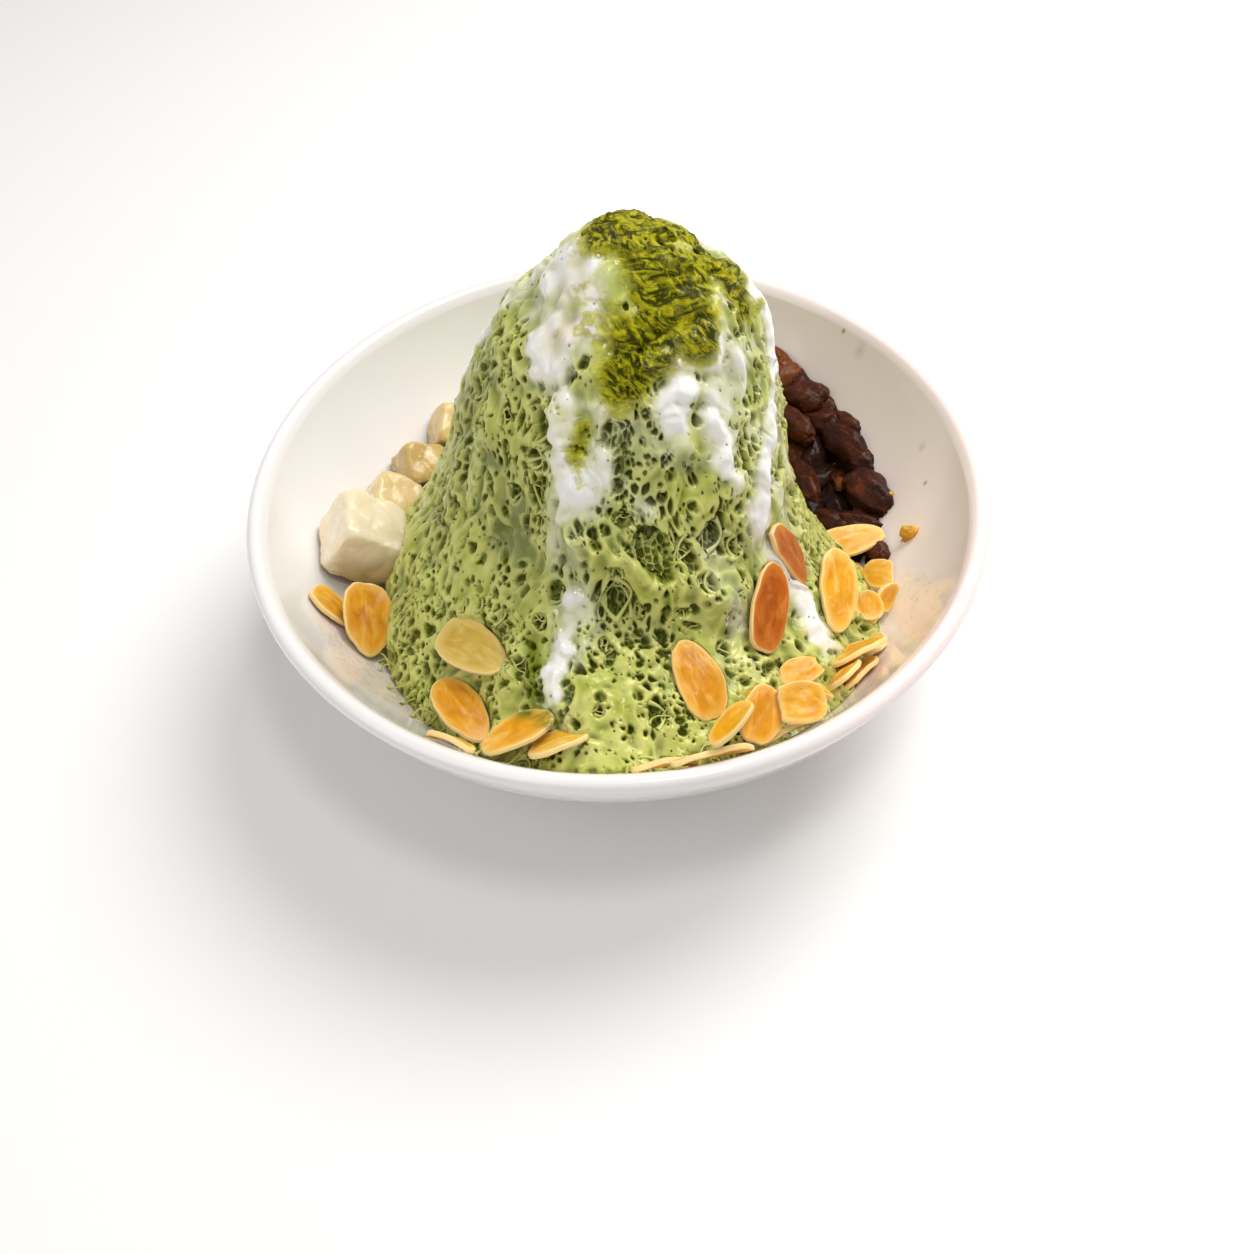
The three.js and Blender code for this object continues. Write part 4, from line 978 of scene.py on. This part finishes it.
    def surface_near(self, place, target):
        """The point of the finished surface over a target close to a place, and its milk."""
        gap = float(np.linalg.norm(target - self.points[place]))
        index, _, _ = self.window(*place, gap + 1)
        near = self.shape[index].reshape(-1, 3)
        offset = near - target
        flat = offset - (offset @ self.normals[place])[:, None] * self.normals[place]
        nearest = np.argmin(np.linalg.norm(flat, axis=1))
        return near[nearest], self.milk[index].ravel()[nearest]

    def seat(self, centre, axes, half):
        """Keeps the ice out of a slice that lies on it."""
        offset = self.shape - centre
        near = np.abs(offset).max(-1) < half[0] + 2
        local = offset[near] @ axes.T
        facing = self.normals[near] @ axes[2]
        far = np.hypot(local[:, 0] / half[0], local[:, 1] / half[1])
        cover = np.where(facing > SEAT_FACING, SEAT_COVER, SEAT_COVER_ASIDE)
        under = (far < SEAT_EDGE) & (local[:, 2] > -SEAT_DEPTH) & (local[:, 2] < cover)
        push = np.where(under, local[:, 2] + SEAT_DEPTH, 0) * smoothstep(SEAT_EDGE, 1.0, far)
        self.shape[near] -= push[:, None] * axes[2]

    def make_surface(self):
        """The finished grid: folds, ropes, pores, milk and powder."""
        points = self.points
        powder = POWDER_BODY * self.matcha * noise(points / (0.9, 1.6, 1.6), 83, 2)
        thick = smoothstep(0.5, 0.95, self.milk)
        out = self.milk_height + self.ripple * (1 - 0.4 * thick) + powder - self.depth
        self.relief = out - blurred(out, RELIEF_ROWS, RELIEF_COLUMNS)
        out *= smoothstep(0, 3, np.arange(ICE_ROWS)[::-1])[:, None]
        self.shape = points + self.normals * out[..., None]
        for node in ALMOND_SLICES:
            self.seat(*slice_axes(node))
        inside_wall(self.shape, WALL_GAP)


def ice_floor(foot):
    """Rows under the ice, close over the bowl, from its foot to the middle."""
    rows = np.repeat(foot[None], FLOOR_ROWS, 0)
    rows[..., :2] *= (1 - np.arange(1, FLOOR_ROWS + 1) / (FLOOR_ROWS + 1))[:, None, None]
    rows[..., 2] = inner_height(np.hypot(rows[..., 0], rows[..., 1])) + FLOOR_GAP
    return rows


def ice_fields(ice):
    """What the material reads at each place of the grid, the floor included."""
    fields = {"pore_shade": np.clip(ice.pore_shade, 0, 1), "milk": ice.milk, "matcha": ice.matcha,
              "olive": ice.olive, "tint": painted_shade_field(ice),
              # painted shade in the hollows and painted light on the crests
              "relief_shading": np.clip(0.5 + ice.relief / 1.25, 0, 1),
              "warm": run_field(ice.points, WARM_MILK, 6.0)}
    floor = np.zeros((FLOOR_ROWS, len(ice.azimuth)))
    return {key: np.concatenate([data, floor]) for key, data in fields.items()}


def make_ice(ice, material):
    """Pieces side by side, each with a strip that the next one also has."""
    ice.make_surface()
    grid = np.concatenate([ice.shape, ice_floor(ice.shape[-1])])
    floor_normals = np.tile((0, 0, -1.0), (FLOOR_ROWS, len(ice.azimuth), 1))
    normals = np.concatenate([grid_normals(ice.shape), floor_normals])
    fields = ice_fields(ice)
    third = FRONT_COLUMNS // 3
    cuts = [0, third, 2 * third, FRONT_COLUMNS, len(ice.azimuth)]
    for name, start, end in zip(ICE_PIECES, cuts[:-1], cuts[1:]):
        columns = np.arange(start - PIECE_OVERLAP, end + PIECE_OVERLAP + 1)
        make_ice_piece(name, grid, normals, fields, columns % len(ice.azimuth), material)


def make_ice_piece(name, grid, normals, fields, columns, material):
    """Some columns of the grid, sunk a little at both ends and closed by a fan underneath."""
    width = len(columns)
    last = width - 1
    ends = [0, PIECE_OVERLAP, last - PIECE_OVERLAP, last]
    sink = np.interp(np.arange(width), ends, [JOINT_SINK, 0, 0, JOINT_SINK])
    part = grid[:, columns] - normals[:, columns] * sink[None, :, None]
    points = np.concatenate([part.reshape(-1, 3), [grid[-1].mean(0)]])
    bottom_row = (len(part) - 1) * width + np.arange(last)
    fan = np.stack([bottom_row, np.full_like(bottom_row, len(points) - 1), bottom_row + 1], -1)
    values = {key: np.append(data[:, columns], 0) for key, data in fields.items()}
    shading = np.concatenate([normals[:, columns].reshape(-1, 3), [(0, 0, -1)]])
    faces = [grid_faces(len(part), width, closed=False), fan]
    piece = make_piece(name, points, faces, material, values, shading)
    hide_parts("ice_mound")


def painted_shade_field(ice):
    """Painted shade: greyer green in the hollows and on the left."""
    points = ice.points
    left = smoothstep(-5, -45, points[..., 0]) * smoothstep(-5, 25, points[..., 2] - RIM_HEIGHT)
    hollow = smoothstep(0.5, -0.9, ice.ripple)
    shaded = run_field(points, SHADED, 5.0)
    return np.clip(0.2 * left + 0.65 * hollow + 0.5 * shaded, 0, 1)


# ---------------------------------------------------------------- strands across the pores
STRAND_MILK = 0.5  # no strand ends where the milk covers more than this
STRAND_PAINTED_LIGHT = 0.72  # strands get as much painted light as the ice near its crests
STRAND_POINTS = 12
FAN_RADII = (0.3, 0.5)
CROSS_RADII = (0.16, 0.26)
FRINGE_RADII = (0.25, 0.4)
FRINGE = [(-168, -130, 18), (-130, -108, 14), (-100, -66, 14)]  # azimuths and number of strands


def tube(run, radius, sides=4):
    """A thin tube along points (n, 3), with pointed ends."""
    heading = unit(np.gradient(run, axis=0))
    side = unit(np.cross(heading, (0.3, 0.2, 0.93)))
    other = np.cross(heading, side)
    turn = np.linspace(0, 2 * math.pi, sides, endpoint=False)
    width = radius * (0.75 + 1.1 * np.abs(np.linspace(-1, 1, len(run))) ** 3)[:, None, None]
    ring = np.cos(turn)[None, :, None] * side[:, None] + np.sin(turn)[None, :, None] * other[:, None]
    points = run[:, None] + width * ring
    return points.reshape(-1, 3), grid_faces(len(run), sides)


def make_strands(ice, material):
    rng = np.random.default_rng(7)
    parts = []
    for pore in ice.sites:
        if max(pore[1:3]) >= WEB_SIZE:
            parts += web_strands(ice, rng, pore)
    parts += fringe_strands(ice, rng)
    points, faces, values = join_meshes(parts)
    piece = make_piece("ice_strands", points, faces, material, values)


def pore_lip(ice, pore):
    """A function from an angle round one pore to the point of its lip there, and its milk."""
    place, half_width, half_length, tilt = pore
    centre, normal = ice.points[place], ice.normals[place]
    down = unit(ice.points[place[0] + 1, place[1]] - ice.points[place[0] - 1, place[1]])
    across = np.cross(down, normal)
    lean = math.radians(tilt)
    long_axis = down * math.cos(lean) + across * math.sin(lean)
    wide_axis = across * math.cos(lean) - down * math.sin(lean)

    def lip(turn):
        side = wide_axis * half_width * math.cos(turn) + long_axis * half_length * math.sin(turn)
        point, milk = ice.surface_near(place, centre + 1.15 * side)
        return point - 0.15 * normal, milk

    return lip


def web_strands(ice, rng, pore):
    """Strands that fan across one pore from near one end, with finer ones between them."""
    place, half_width, half_length, _ = pore
    normal, lip = ice.normals[place], pore_lip(ice, pore)
    fan_count = int(2 + 0.4 * half_width)
    fan = []
    end = rng.choice((-1, 1)) * math.pi / 2 + rng.normal(0, 0.25)
    for number in range(fan_count):
        start = end + rng.normal(0, 0.5)
        finish = end + math.pi + 1.5 * (number / max(fan_count - 1, 1) - 0.5) + rng.normal(0, 0.2)
        (first, first_milk), (last, last_milk) = lip(start), lip(finish)
        if max(first_milk, last_milk) < STRAND_MILK:
            sag = rng.uniform(0.3, 0.8) * min(half_width, half_length) ** 0.8
            fan.append((bowed(rng, first, last, normal, sag), rng.uniform(*FAN_RADII)))
    crossing = cross_strands(rng, lip, fan, normal, int(1.4 + 0.4 * half_width)) if fan else []
    milk = 0.2 + 0.5 * ice.milk[place]
    return [strand(run, radius, milk) for run, radius in fan + crossing]


def cross_strands(rng, lip, fan, normal, count):
    """Finer strands from one strand of the fan to another, or to the lip."""
    out = []
    for _ in range(count):
        first, second = (fan[rng.integers(len(fan))][0] for _ in range(2))
        branch = first[rng.integers(3, len(first) - 3)]
        target, milk = second[rng.integers(2, len(second) - 2)], 0
        if rng.random() < 0.5:
            target, milk = lip(rng.uniform(0, 2 * math.pi))
        if np.linalg.norm(target - branch) > 0.8 and milk < STRAND_MILK:
            run = bowed(rng, branch, target, normal, rng.uniform(0.05, 0.3))
            out.append((run, rng.uniform(*CROSS_RADII)))
    return out


def strand(run, radius, milk):
    points, faces = tube(run, radius)
    values = {key: np.zeros(len(points)) for key in ("pore_shade", "matcha", "olive", "tint", "warm")}
    values["milk"] = np.full(len(points), milk)
    values["relief_shading"] = np.full(len(points), STRAND_PAINTED_LIGHT)
    return points, faces, values


def fringe_strands(ice, rng):
    """Short strands from the foot of the ice across to the wall."""
    out = []
    for start, end, count in FRINGE:
        for azimuth in rng.uniform(start, end, count):
            column = ice.nearest(azimuth, 0)[1]
            row = ICE_ROWS - rng.integers(4, 12)
            first = ice.shape[row, column] - 0.2 * ice.normals[row, column]
            turn = math.radians(azimuth + rng.normal(0, 2.5))
            height = ice.shape[-1, column, 2] + rng.uniform(0.3, 2.5)
            reach = inner_radius(height) - 0.1
            last = np.array((reach * math.cos(turn), reach * math.sin(turn), height))
            run = bowed(rng, first, last, ice.normals[row, column], rng.uniform(-0.3, 0.4))
            out.append(strand(inside_wall(run), rng.uniform(*FRINGE_RADII), 0.1))
    return out


def bowed(rng, start, end, normal, sag):
    """Points from start to end that hang inwards and bend a little sideways."""
    share = np.linspace(0, 1, STRAND_POINTS)[:, None]
    arch = 4 * share * (1 - share)
    curl = np.sin(2 * math.pi * share) * rng.normal(0, 0.09)
    sideways = np.cross(end - start, normal) * (arch * rng.normal(0, 0.28) + curl)
    return start * (1 - share) + end * share + sideways - normal * sag * arch


# ---------------------------------------------------------------- almond slices
# How far a broken slice reaches from its middle, for a whole one's half length of 1.
BROKEN = {"almond_slice_14": 0.6, "almond_slice_17": 0.75, "almond_slice_25": 0.6}
SLICE_THICKNESS = 1.2
SLICE_BEND = 0.5
SLICE_TAPER = 0.16
SLICE_FULLNESS = 0.88  # under 1 makes a slice's ends blunter than an oval's
TOASTED = ("almond_slice_29", "almond_slice_30")
GREENISH = ("almond_slice_03",)
SMEARED = "almond_slice_06"  # tea on the side towards the ice
SMEAR_HEADING = (0.62, 0.78, 0)
DEEP = ("almond_slice_02", "almond_slice_04", "almond_slice_10", "almond_slice_13")
PALE_SHARE = 0.3
ALMOND_COLOURS = {  # middle, rim and blotches
    "gold": ("#e6a416", "#fbd67c", "#d68e0a"),
    "deep": ("#dd940a", "#f6c860", "#c87a04"),
    "pale": ("#e8b236", "#fbdf92", "#dca420"),
    "green": ("#d6b650", "#efd488", "#cba23c"),
    "toasted": ("#b45806", "#dd8f38", "#9c4604"),
}
# A slice's section near its edge: share of the way out, and height over half the thickness.
SLICE_EDGE = [(0.955, 0.98), (0.985, 0.85), (1.0, 0.45)]
SLICE_RINGS = 9
SLICE_SEGMENTS = 48


def slice_axes(node):
    """Centre, axes (along, across, up) and half sizes of a slice's solid, in mm."""
    points = np.array([v.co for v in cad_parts[node].data.vertices]) / MM
    centre = points.mean(0)
    spread = np.linalg.eigh(np.cov((points - centre).T))[1]
    up, across, along = spread.T
    axes = np.stack([along, across, up])
    local = (points - centre) @ axes.T
    middle = (local.max(0) + local.min(0)) / 2
    half = (local.max(0) - local.min(0)) / 2
    local = local - middle
    wide_end = np.abs(local[local[:, 0] < 0, 1]).mean() > np.abs(local[local[:, 0] > 0, 1]).mean()
    if not wide_end:
        along = -along
    central = np.abs(local[:, 0]) < 0.35 * half[0]
    if local[central, 2].mean() < local[~central, 2].mean():
        up = -up
    return centre + middle @ axes, np.stack([along, np.cross(up, along), up]), half


def slice_outline(end, rng):
    """An oval with a blunter end, cut off at `end`, the waves of its edge and a seed."""
    turn = np.linspace(0, 2 * math.pi, SLICE_SEGMENTS, endpoint=False)
    cosine, sine = np.cos(turn), np.sin(turn)
    x = np.minimum(cosine, end)
    full = np.sign(sine) * np.abs(sine) ** SLICE_FULLNESS
    y = full * (1 - rng.uniform(0.3, 1.2) * SLICE_TAPER * x) / 1.02
    seed = int(rng.integers(1000))
    edge = np.stack([cosine, sine, 0 * turn], -1)
    wave = 1 + 0.055 * noise(edge * 1.6, seed, 2) + 0.018 * noise(edge * 6, seed + 9)
    tip = rng.uniform(0, 0.03) * np.exp(-(np.minimum(turn, 2 * math.pi - turn) / 0.2) ** 2)
    return x, y, wave + tip, seed


def slice_mesh(half, end, rng):
    """Points in the slice's own axes, faces and values: a thin oval with a soft rim."""
    outline_x, outline_y, wave, seed = slice_outline(end, rng)
    flat = [(share, 1.0) for share in np.linspace(0, 0.88, SLICE_RINGS) ** 0.8]
    share, level = np.array(flat + SLICE_EDGE).T
    share = np.concatenate([share, share[::-1]])[:, None]
    level = np.concatenate([level, -level[::-1]])[:, None]
    x = (outline_x - (end - 1) / 2)[None] * share * wave * half[0] * 2 / (1 + end)
    y = outline_y[None] * share * wave * half[1]
    across = y / half[1]
    bend = SLICE_BEND * (0.5 - (x / half[0]) ** 2) * rng.uniform(0.8, 1.3)
    curl = rng.uniform(-0.6, 0.6) * x / half[0] * across
    swell = 0.1 * np.exp(-((share - 0.93) / 0.05) ** 2) * (level > 0)
    dish = -0.2 * (1 - across ** 2)
    grain = 0.22 * noise(np.stack([x / 5, y / 2.6, 0 * x], -1), seed + 5, 3)
    z = level * SLICE_THICKNESS / 2 + bend + curl + swell + dish + grain
    points = np.stack([x, y, z], -1).reshape(-1, 3)
    values = {"edge": np.repeat(share, SLICE_SEGMENTS), "local": points * MM + rng.uniform(0, 1, 3)}
    return points, grid_faces(len(share), SLICE_SEGMENTS), values


def slice_kind(node, pale):
    for kind, nodes in (("toasted", TOASTED), ("green", GREENISH), ("deep", DEEP)):
        if node in nodes:
            return kind
    return "pale" if pale else "gold"


def make_almonds():
    materials = {kind: almond_material("almond_" + kind, *codes)
                 for kind, codes in ALMOND_COLOURS.items()}
    rng = np.random.default_rng(11)
    for node in ALMOND_SLICES:
        centre, axes, half = slice_axes(node)
        points, faces, values = slice_mesh(half, BROKEN.get(node, 1.0), rng)
        kind = slice_kind(node, rng.random() < PALE_SHARE)
        points = points @ axes
        towards_ice = points @ SMEAR_HEADING / half[0]
        values["tea"] = smoothstep(0.1, 0.6, towards_ice) * (node == SMEARED)
        piece = make_piece(node + "_roasted", centre + points, [faces], materials[kind], values)
        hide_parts(node)
    make_crumbs(materials["gold"])


# ---------------------------------------------------------------- rice cakes
CAKE_TONES = (0.0, 0.42, 0.62, 0.48)  # the ones at the back are yellower
CAKE_GRAIN = 0.5  # mm between the mesh's points
CAKE_FACET = 6.5  # mm


def worn_block(node):
    """Points, normals and faces of a solid with its edges worn soft."""
    block = bpy.data.objects.new(node + "_soft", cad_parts[node].data.copy())
    bpy.context.scene.collection.objects.link(block)
    remesh = block.modifiers.new("even", "REMESH")
    remesh.mode = "VOXEL"
    remesh.voxel_size = CAKE_GRAIN * MM
    block.modifiers.new("worn", "SMOOTH").iterations = 10
    bpy.context.view_layer.update()
    shape = block.evaluated_get(bpy.context.evaluated_depsgraph_get())
    mesh = bpy.data.meshes.new_from_object(shape)
    bpy.data.objects.remove(block)
    points = np.array([v.co for v in mesh.vertices]) / MM
    normals = np.array([v.normal for v in mesh.vertices])
    return points, normals, np.array([tuple(p.vertices) for p in mesh.polygons
                                      if len(p.vertices) == 4])


def cake_shade(points, normals):
    """How much shade is painted on a cake at each place: more low down and on the side towards the ice,
    less on faces that look up.
    """
    facing = -(normals[:, :2] * unit(points[:, :2])).sum(1)
    depth = (points[:, 2].max() - points[:, 2]) / np.ptp(points[:, 2])
    low = 0.5 * smoothstep(0.3, 0.85, depth) + 0.5 * smoothstep(0.82, 1.0, depth)
    return low + 0.2 * facing * depth - 0.1 * normals[:, 2]


def make_cakes(material):
    """Soft blocks with broad facets, from the solids' own forms."""
    for number, tone in enumerate(CAKE_TONES, 1):
        node = f"rice_cake_{number}"
        points, normals, faces = worn_block(node)
        facets = 0.5 - cells(points / CAKE_FACET, 100 + number)[0]
        roughness = noise(points / 1.6, 120 + number, 2)
        points += normals * (1.1 * facets + 0.1 * roughness)[:, None]
        values = {"low": np.clip(tone + cake_shade(points, normals), 0, 1)}
        soft = make_piece(node + "_soft", points, [faces], material, values)
        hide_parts(node)


# ---------------------------------------------------------------- red beans
# Centre, half length, half width, turn of the long axis in plan and its dip in degrees.
BEANS = [
    ((46.5, 60.0, 40.0), 6.2, 3.8, 120, 10), ((51.5, 54.8, 38.0), 6.4, 4.0, 118, 10),
    ((47.4, 53.0, 39.4), 5.8, 3.8, 26, -8), ((53.0, 46.8, 37.6), 7.0, 4.8, 150, 6),
    ((58.4, 45.0, 35.0), 6.2, 3.8, 112, 8), ((49.6, 38.6, 34.6), 8.4, 4.6, 115, 14),
    ((57.8, 39.8, 34.4), 6.6, 3.8, 150, 4), ((63.4, 36.8, 34.8), 6.4, 3.8, 130, 4),
    ((62.4, 30.8, 34.2), 7.8, 4.6, 128, 2), ((66.0, 25.8, 33.0), 6.6, 4.0, 124, 4),
    ((50.2, 22.5, 28.8), 9.0, 4.0, 107, 8), ((60.4, 22.4, 28.0), 5.0, 2.6, 103, 7),
    ((66.8, 12.6, 33.2), 7.8, 5.0, 118, -2), ((57.8, 6.8, 27.4), 6.4, 4.0, 145, -6),
    ((64.6, 4.6, 28.6), 6.6, 4.0, 154, -6), ((66.4, -6.4, 30.4), 5.0, 3.0, 126, -6),
    ((40.2, 61.6, 40.4), 6.4, 4.0, 30, 5), ((38.6, 66.4, 41.8), 6.2, 3.9, 150, -4),
    ((32.6, 68.4, 41.8), 6.4, 4.0, 100, 6), ((33.6, 61.4, 39.2), 6.6, 4.2, 70, 6),
    ((26.6, 66.6, 40.2), 6.4, 4.0, 20, -6), ((27.6, 59.2, 37.2), 6.6, 4.2, 140, 8),
    ((41.0, 54.4, 37.6), 6.8, 4.3, 60, 10), ((34.8, 53.6, 36.0), 6.6, 4.3, 115, 10),
    ((44.0, 47.0, 35.2), 7.0, 4.4, 35, -10), ((37.6, 46.0, 33.4), 6.8, 4.3, 75, -8),
    ((42.6, 38.4, 31.6), 6.8, 4.3, 140, 8), ((47.4, 30.6, 29.8), 6.8, 4.2, 20, 8),
    ((54.6, 31.6, 29.2), 7.0, 4.4, 70, -8), ((56.4, 24.4, 26.8), 6.8, 4.2, 35, 6),
    ((63.4, 19.6, 27.6), 6.6, 4.0, 80, 4), ((58.4, 15.4, 26.2), 7.2, 4.3, 95, 4),
    ((51.6, 12.8, 26.0), 6.8, 4.4, 110, -8), ((52.0, 3.4, 25.8), 6.8, 4.3, 70, 8),
    ((59.4, -2.8, 26.2), 6.8, 4.2, 60, -4), ((33.6, 44.6, 31.0), 6.8, 4.2, 20, 4),
    ((60.2, 19.2, 30.2), 4.0, 1.7, 75, 35), ((27.2, 50.4, 32.0), 6.6, 4.2, 80, -4),
    ((21.0, 55.4, 33.4), 6.6, 4.1, 130, 4), ((20.4, 47.0, 30.8), 6.8, 4.2, 40, 6),
    ((42.0, 33.4, 29.8), 6.6, 4.0, 100, 4),
]
LIGHT_BEANS = (0, 2, 36)  # their numbers in the list
FIRST_DEEP_BEAN = 28  # this one and those after it lie low in the heap and get painted shade
CORE_AZIMUTHS = (-13, 72)
CORE_STEPS = 60
# Azimuths, and the heights there at which the syrup meets the wall, measured from the rim.
CORE_HEIGHTS = ([-14, 7, 28, 49, 70], [-31, -28.5, -26.5, -21.5, -19])
CORE_BOTTOM = -44
BEAN_RINGS = 26
BEAN_SIDES = 32


def ball(rings, sides, bluntness=1.0):
    """Unit ball as a grid: place along its axis, and the two places across it."""
    latitude = np.radians(np.linspace(-90, 90, rings))[:, None]
    turn = np.linspace(0, 2 * math.pi, sides, endpoint=False)[None]
    wide = np.maximum(np.cos(latitude), 0) ** bluntness
    return np.broadcast_arrays(np.sin(latitude), wide * np.cos(turn), wide * np.sin(turn)), turn


def bean_mesh(bean, number, rng):
    """A plump cooked bean with a bent back, a groove, flats and wrinkles."""
    centre, half_length, half_width, heading, dip = bean
    axes, turn = ball(BEAN_RINGS, BEAN_SIDES, 0.8)
    unit = np.stack(axes, -1)
    dents = 1 - 2 * np.abs(noise(unit * 1.5, number, 2))
    wrinkles = 1 - 2 * np.abs(noise(unit * (2.2, 4.6, 4.6), number + 3, 3))
    lumps = 1 + 0.11 * dents + 0.05 * wrinkles
    shape = unit * lumps[..., None] * (half_length, half_width, half_width * rng.uniform(0.8, 1))
    shape[..., 1] += rng.uniform(-0.9, 0.9) * (unit[..., 0] ** 2 - 0.3)
    groove = np.cos(turn - rng.uniform(0, 2 * math.pi) - 0.5 * unit[..., 0])
    shape[..., 1:] *= (1 - 0.14 * smoothstep(0.86, 1, groove))[..., None]
    turned = np.array(Matrix.Rotation(math.radians(heading), 3, "Z")
                      @ Matrix.Rotation(math.radians(dip), 3, "Y")
                      @ Matrix.Rotation(rng.uniform(0, 2 * math.pi), 3, "X"))
    points = shape.reshape(-1, 3) @ turned.T
    light = number in LIGHT_BEANS
    tone = 0.6 if light else rng.uniform(0, 0.22)
    # Painted shade: darker on the underside, and on the beans low in the heap.
    under = 0.6 * smoothstep(0.2, -0.9, points[:, 2] / 4)
    deep = 0.75 if number >= FIRST_DEEP_BEAN and not light else 0
    ridge = smoothstep(0.2, 1, 0.7 * dents + 0.5 * wrinkles).ravel()
    values = {"tone": np.full(len(points), tone), "deep": np.maximum(deep, under), "ridge": ridge}
    return inside_wall(points + centre), grid_faces(BEAN_RINGS, BEAN_SIDES)[:, ::-1], values


def heap_core():
    """The syrupy mass under the beans, near black as the shade between them: an arc of sections along
    the wall, thinner at its ends.
    """
    azimuth = np.linspace(*CORE_AZIMUTHS, CORE_STEPS)
    wall = np.interp(azimuth, *CORE_HEIGHTS)
    wall = wall - 10 * np.abs(np.linspace(-1, 1, CORE_STEPS)) ** 6
    rows = []
    for height, turn in zip(wall, np.radians(azimuth)):
        outer = inner_radius(RIM_HEIGHT + height) - 0.2
        section = [(outer, height), (62, height - 2.5), (52, height - 6), (42, height - 6),
                   (42, CORE_BOTTOM), (outer - 8, CORE_BOTTOM)]
        rows += [(r * math.cos(turn), r * math.sin(turn), RIM_HEIGHT + z) for r, z in section]
    points = np.array(rows)
    reach = np.minimum(np.hypot(points[:, 0], points[:, 1]), 89)
    points[:, 2] = np.maximum(points[:, 2], inner_height(reach) + 0.2)
    corners = len(section)
    ends = np.array([range(corners), range(len(points) - 1, len(points) - corners - 1, -1)])
    return points, [grid_faces(CORE_STEPS, corners), ends]


def make_beans():
    rng = np.random.default_rng(5)
    parts = [bean_mesh(bean, number, rng) for number, bean in enumerate(BEANS)]
    points, faces, values = join_meshes(parts)
    heap = make_piece("red_bean_heap", points, faces, bean_material(), values)
    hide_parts("red_beans")
    points, faces = heap_core()
    make_piece("red_bean_core", points, faces, syrup_and_shade_material())


# ---------------------------------------------------------------- crumbs
# Centre and half sizes.
CRUMBS = [
    ((73.2, -6.8, 37.6), (2.1, 1.5, 2.3)), ((71.4, 8.8, 36.2), (0.8, 0.6, 0.5)),
    ((56.8, -12.4, 34.2), (1.0, 0.8, 0.5)),
]
CRUMB_RINGS = 14
CRUMB_SIDES = 20


def make_crumbs(material):
    parts = []
    (along, wide, deep), _ = ball(CRUMB_RINGS, CRUMB_SIDES)
    unit = np.stack([wide, deep, along], -1)
    faces = grid_faces(CRUMB_RINGS, CRUMB_SIDES)[:, ::-1]
    for number, (centre, half) in enumerate(CRUMBS):
        lumps = 1 + 0.35 * noise(unit * 1.6, 200 + number, 3)
        points = (unit * lumps[..., None] * half + centre).reshape(-1, 3)
        values = {"edge": np.full(len(points), 0.5), "local": points * MM, "tea": np.zeros(len(points))}
        parts.append((inside_wall(points), faces, values))
    points, faces, values = join_meshes(parts)
    make_piece("almond_crumbs", points, faces, material, values)


# ---------------------------------------------------------------- stage
CAMERA_PLACE = (0.95, -222.78, 268.82)  # mm
CAMERA_PITCH = 50.68  # degrees that it looks down
CAMERA_ROLL = -2.55
CAMERA_LENS = 35.885  # mm, for this width of sensor
SENSOR_WIDTH = 36
FLOOR_HALF = 3.0  # metres, as all that follows
SKY = (1, 0.99, 0.97, 1)
SKY_STRENGTH = 0.37
LIGHT_TARGET = Vector((0, 0, 0.05))
LIGHTS = [  # name, place, size, power and colour
    ("key", (0.35, 0.30, 0.75), 0.55, 6.2, (1, 0.985, 0.97)),
    ("fill", (-0.6, -0.5, 0.7), 0.9, 2.3, (1, 0.985, 0.98)),
    ("glint", (0.12, -0.2, 0.85), 0.16, 1.1, (1, 0.99, 0.98)),
]


def make_camera():
    camera = bpy.data.objects.new("camera", bpy.data.cameras.new("camera"))
    camera.data.sensor_width = SENSOR_WIDTH
    camera.data.lens = CAMERA_LENS
    place = Matrix.Translation(Vector(CAMERA_PLACE) * MM)
    tilt = Matrix.Rotation(math.radians(90 - CAMERA_PITCH), 4, "X")
    roll = Matrix.Rotation(math.radians(CAMERA_ROLL), 4, "Z")
    camera.matrix_world = place @ tilt @ roll
    bpy.context.scene.collection.objects.link(camera)
    bpy.context.scene.camera = camera


def add_light(name, place, size, power, tint):
    light = bpy.data.lights.new(name, "AREA")
    light.shape = "DISK"
    light.size = size
    light.energy = power
    light.color = tint
    lamp = bpy.data.objects.new(name, light)
    lamp.location = place
    lamp.rotation_mode = "QUATERNION"
    lamp.rotation_quaternion = (Vector(place) - LIGHT_TARGET).to_track_quat("Z", "Y")
    bpy.context.scene.collection.objects.link(lamp)


def make_stage():
    mesh = bpy.data.meshes.new("floor")
    corners = [(x * FLOOR_HALF, y * FLOOR_HALF, 0) for x, y in ((-1, -1), (1, -1), (1, 1), (-1, 1))]
    mesh.from_pydata(corners, [], [(0, 1, 2, 3)])
    mesh.materials.append(floor_material())
    floor = bpy.data.objects.new("floor", mesh)
    bpy.context.scene.collection.objects.link(floor)
    world = bpy.data.worlds.new("studio")
    world.use_nodes = True
    sky = world.node_tree.nodes["Background"].inputs
    sky["Color"].default_value = SKY
    sky["Strength"].default_value = SKY_STRENGTH
    bpy.context.scene.world = world
    bpy.context.scene.view_settings.view_transform = "Standard"
    for light in LIGHTS:
        add_light(*light)


# ---------------------------------------------------------------- everything
def main():
    make_camera()
    make_stage()
    make_bowl()
    ice = Ice()
    ice_skin = ice_material()
    make_ice(ice, ice_skin)
    make_strands(ice, ice_skin)
    make_almonds()
    make_cakes(cake_material())
    make_beans()


main()
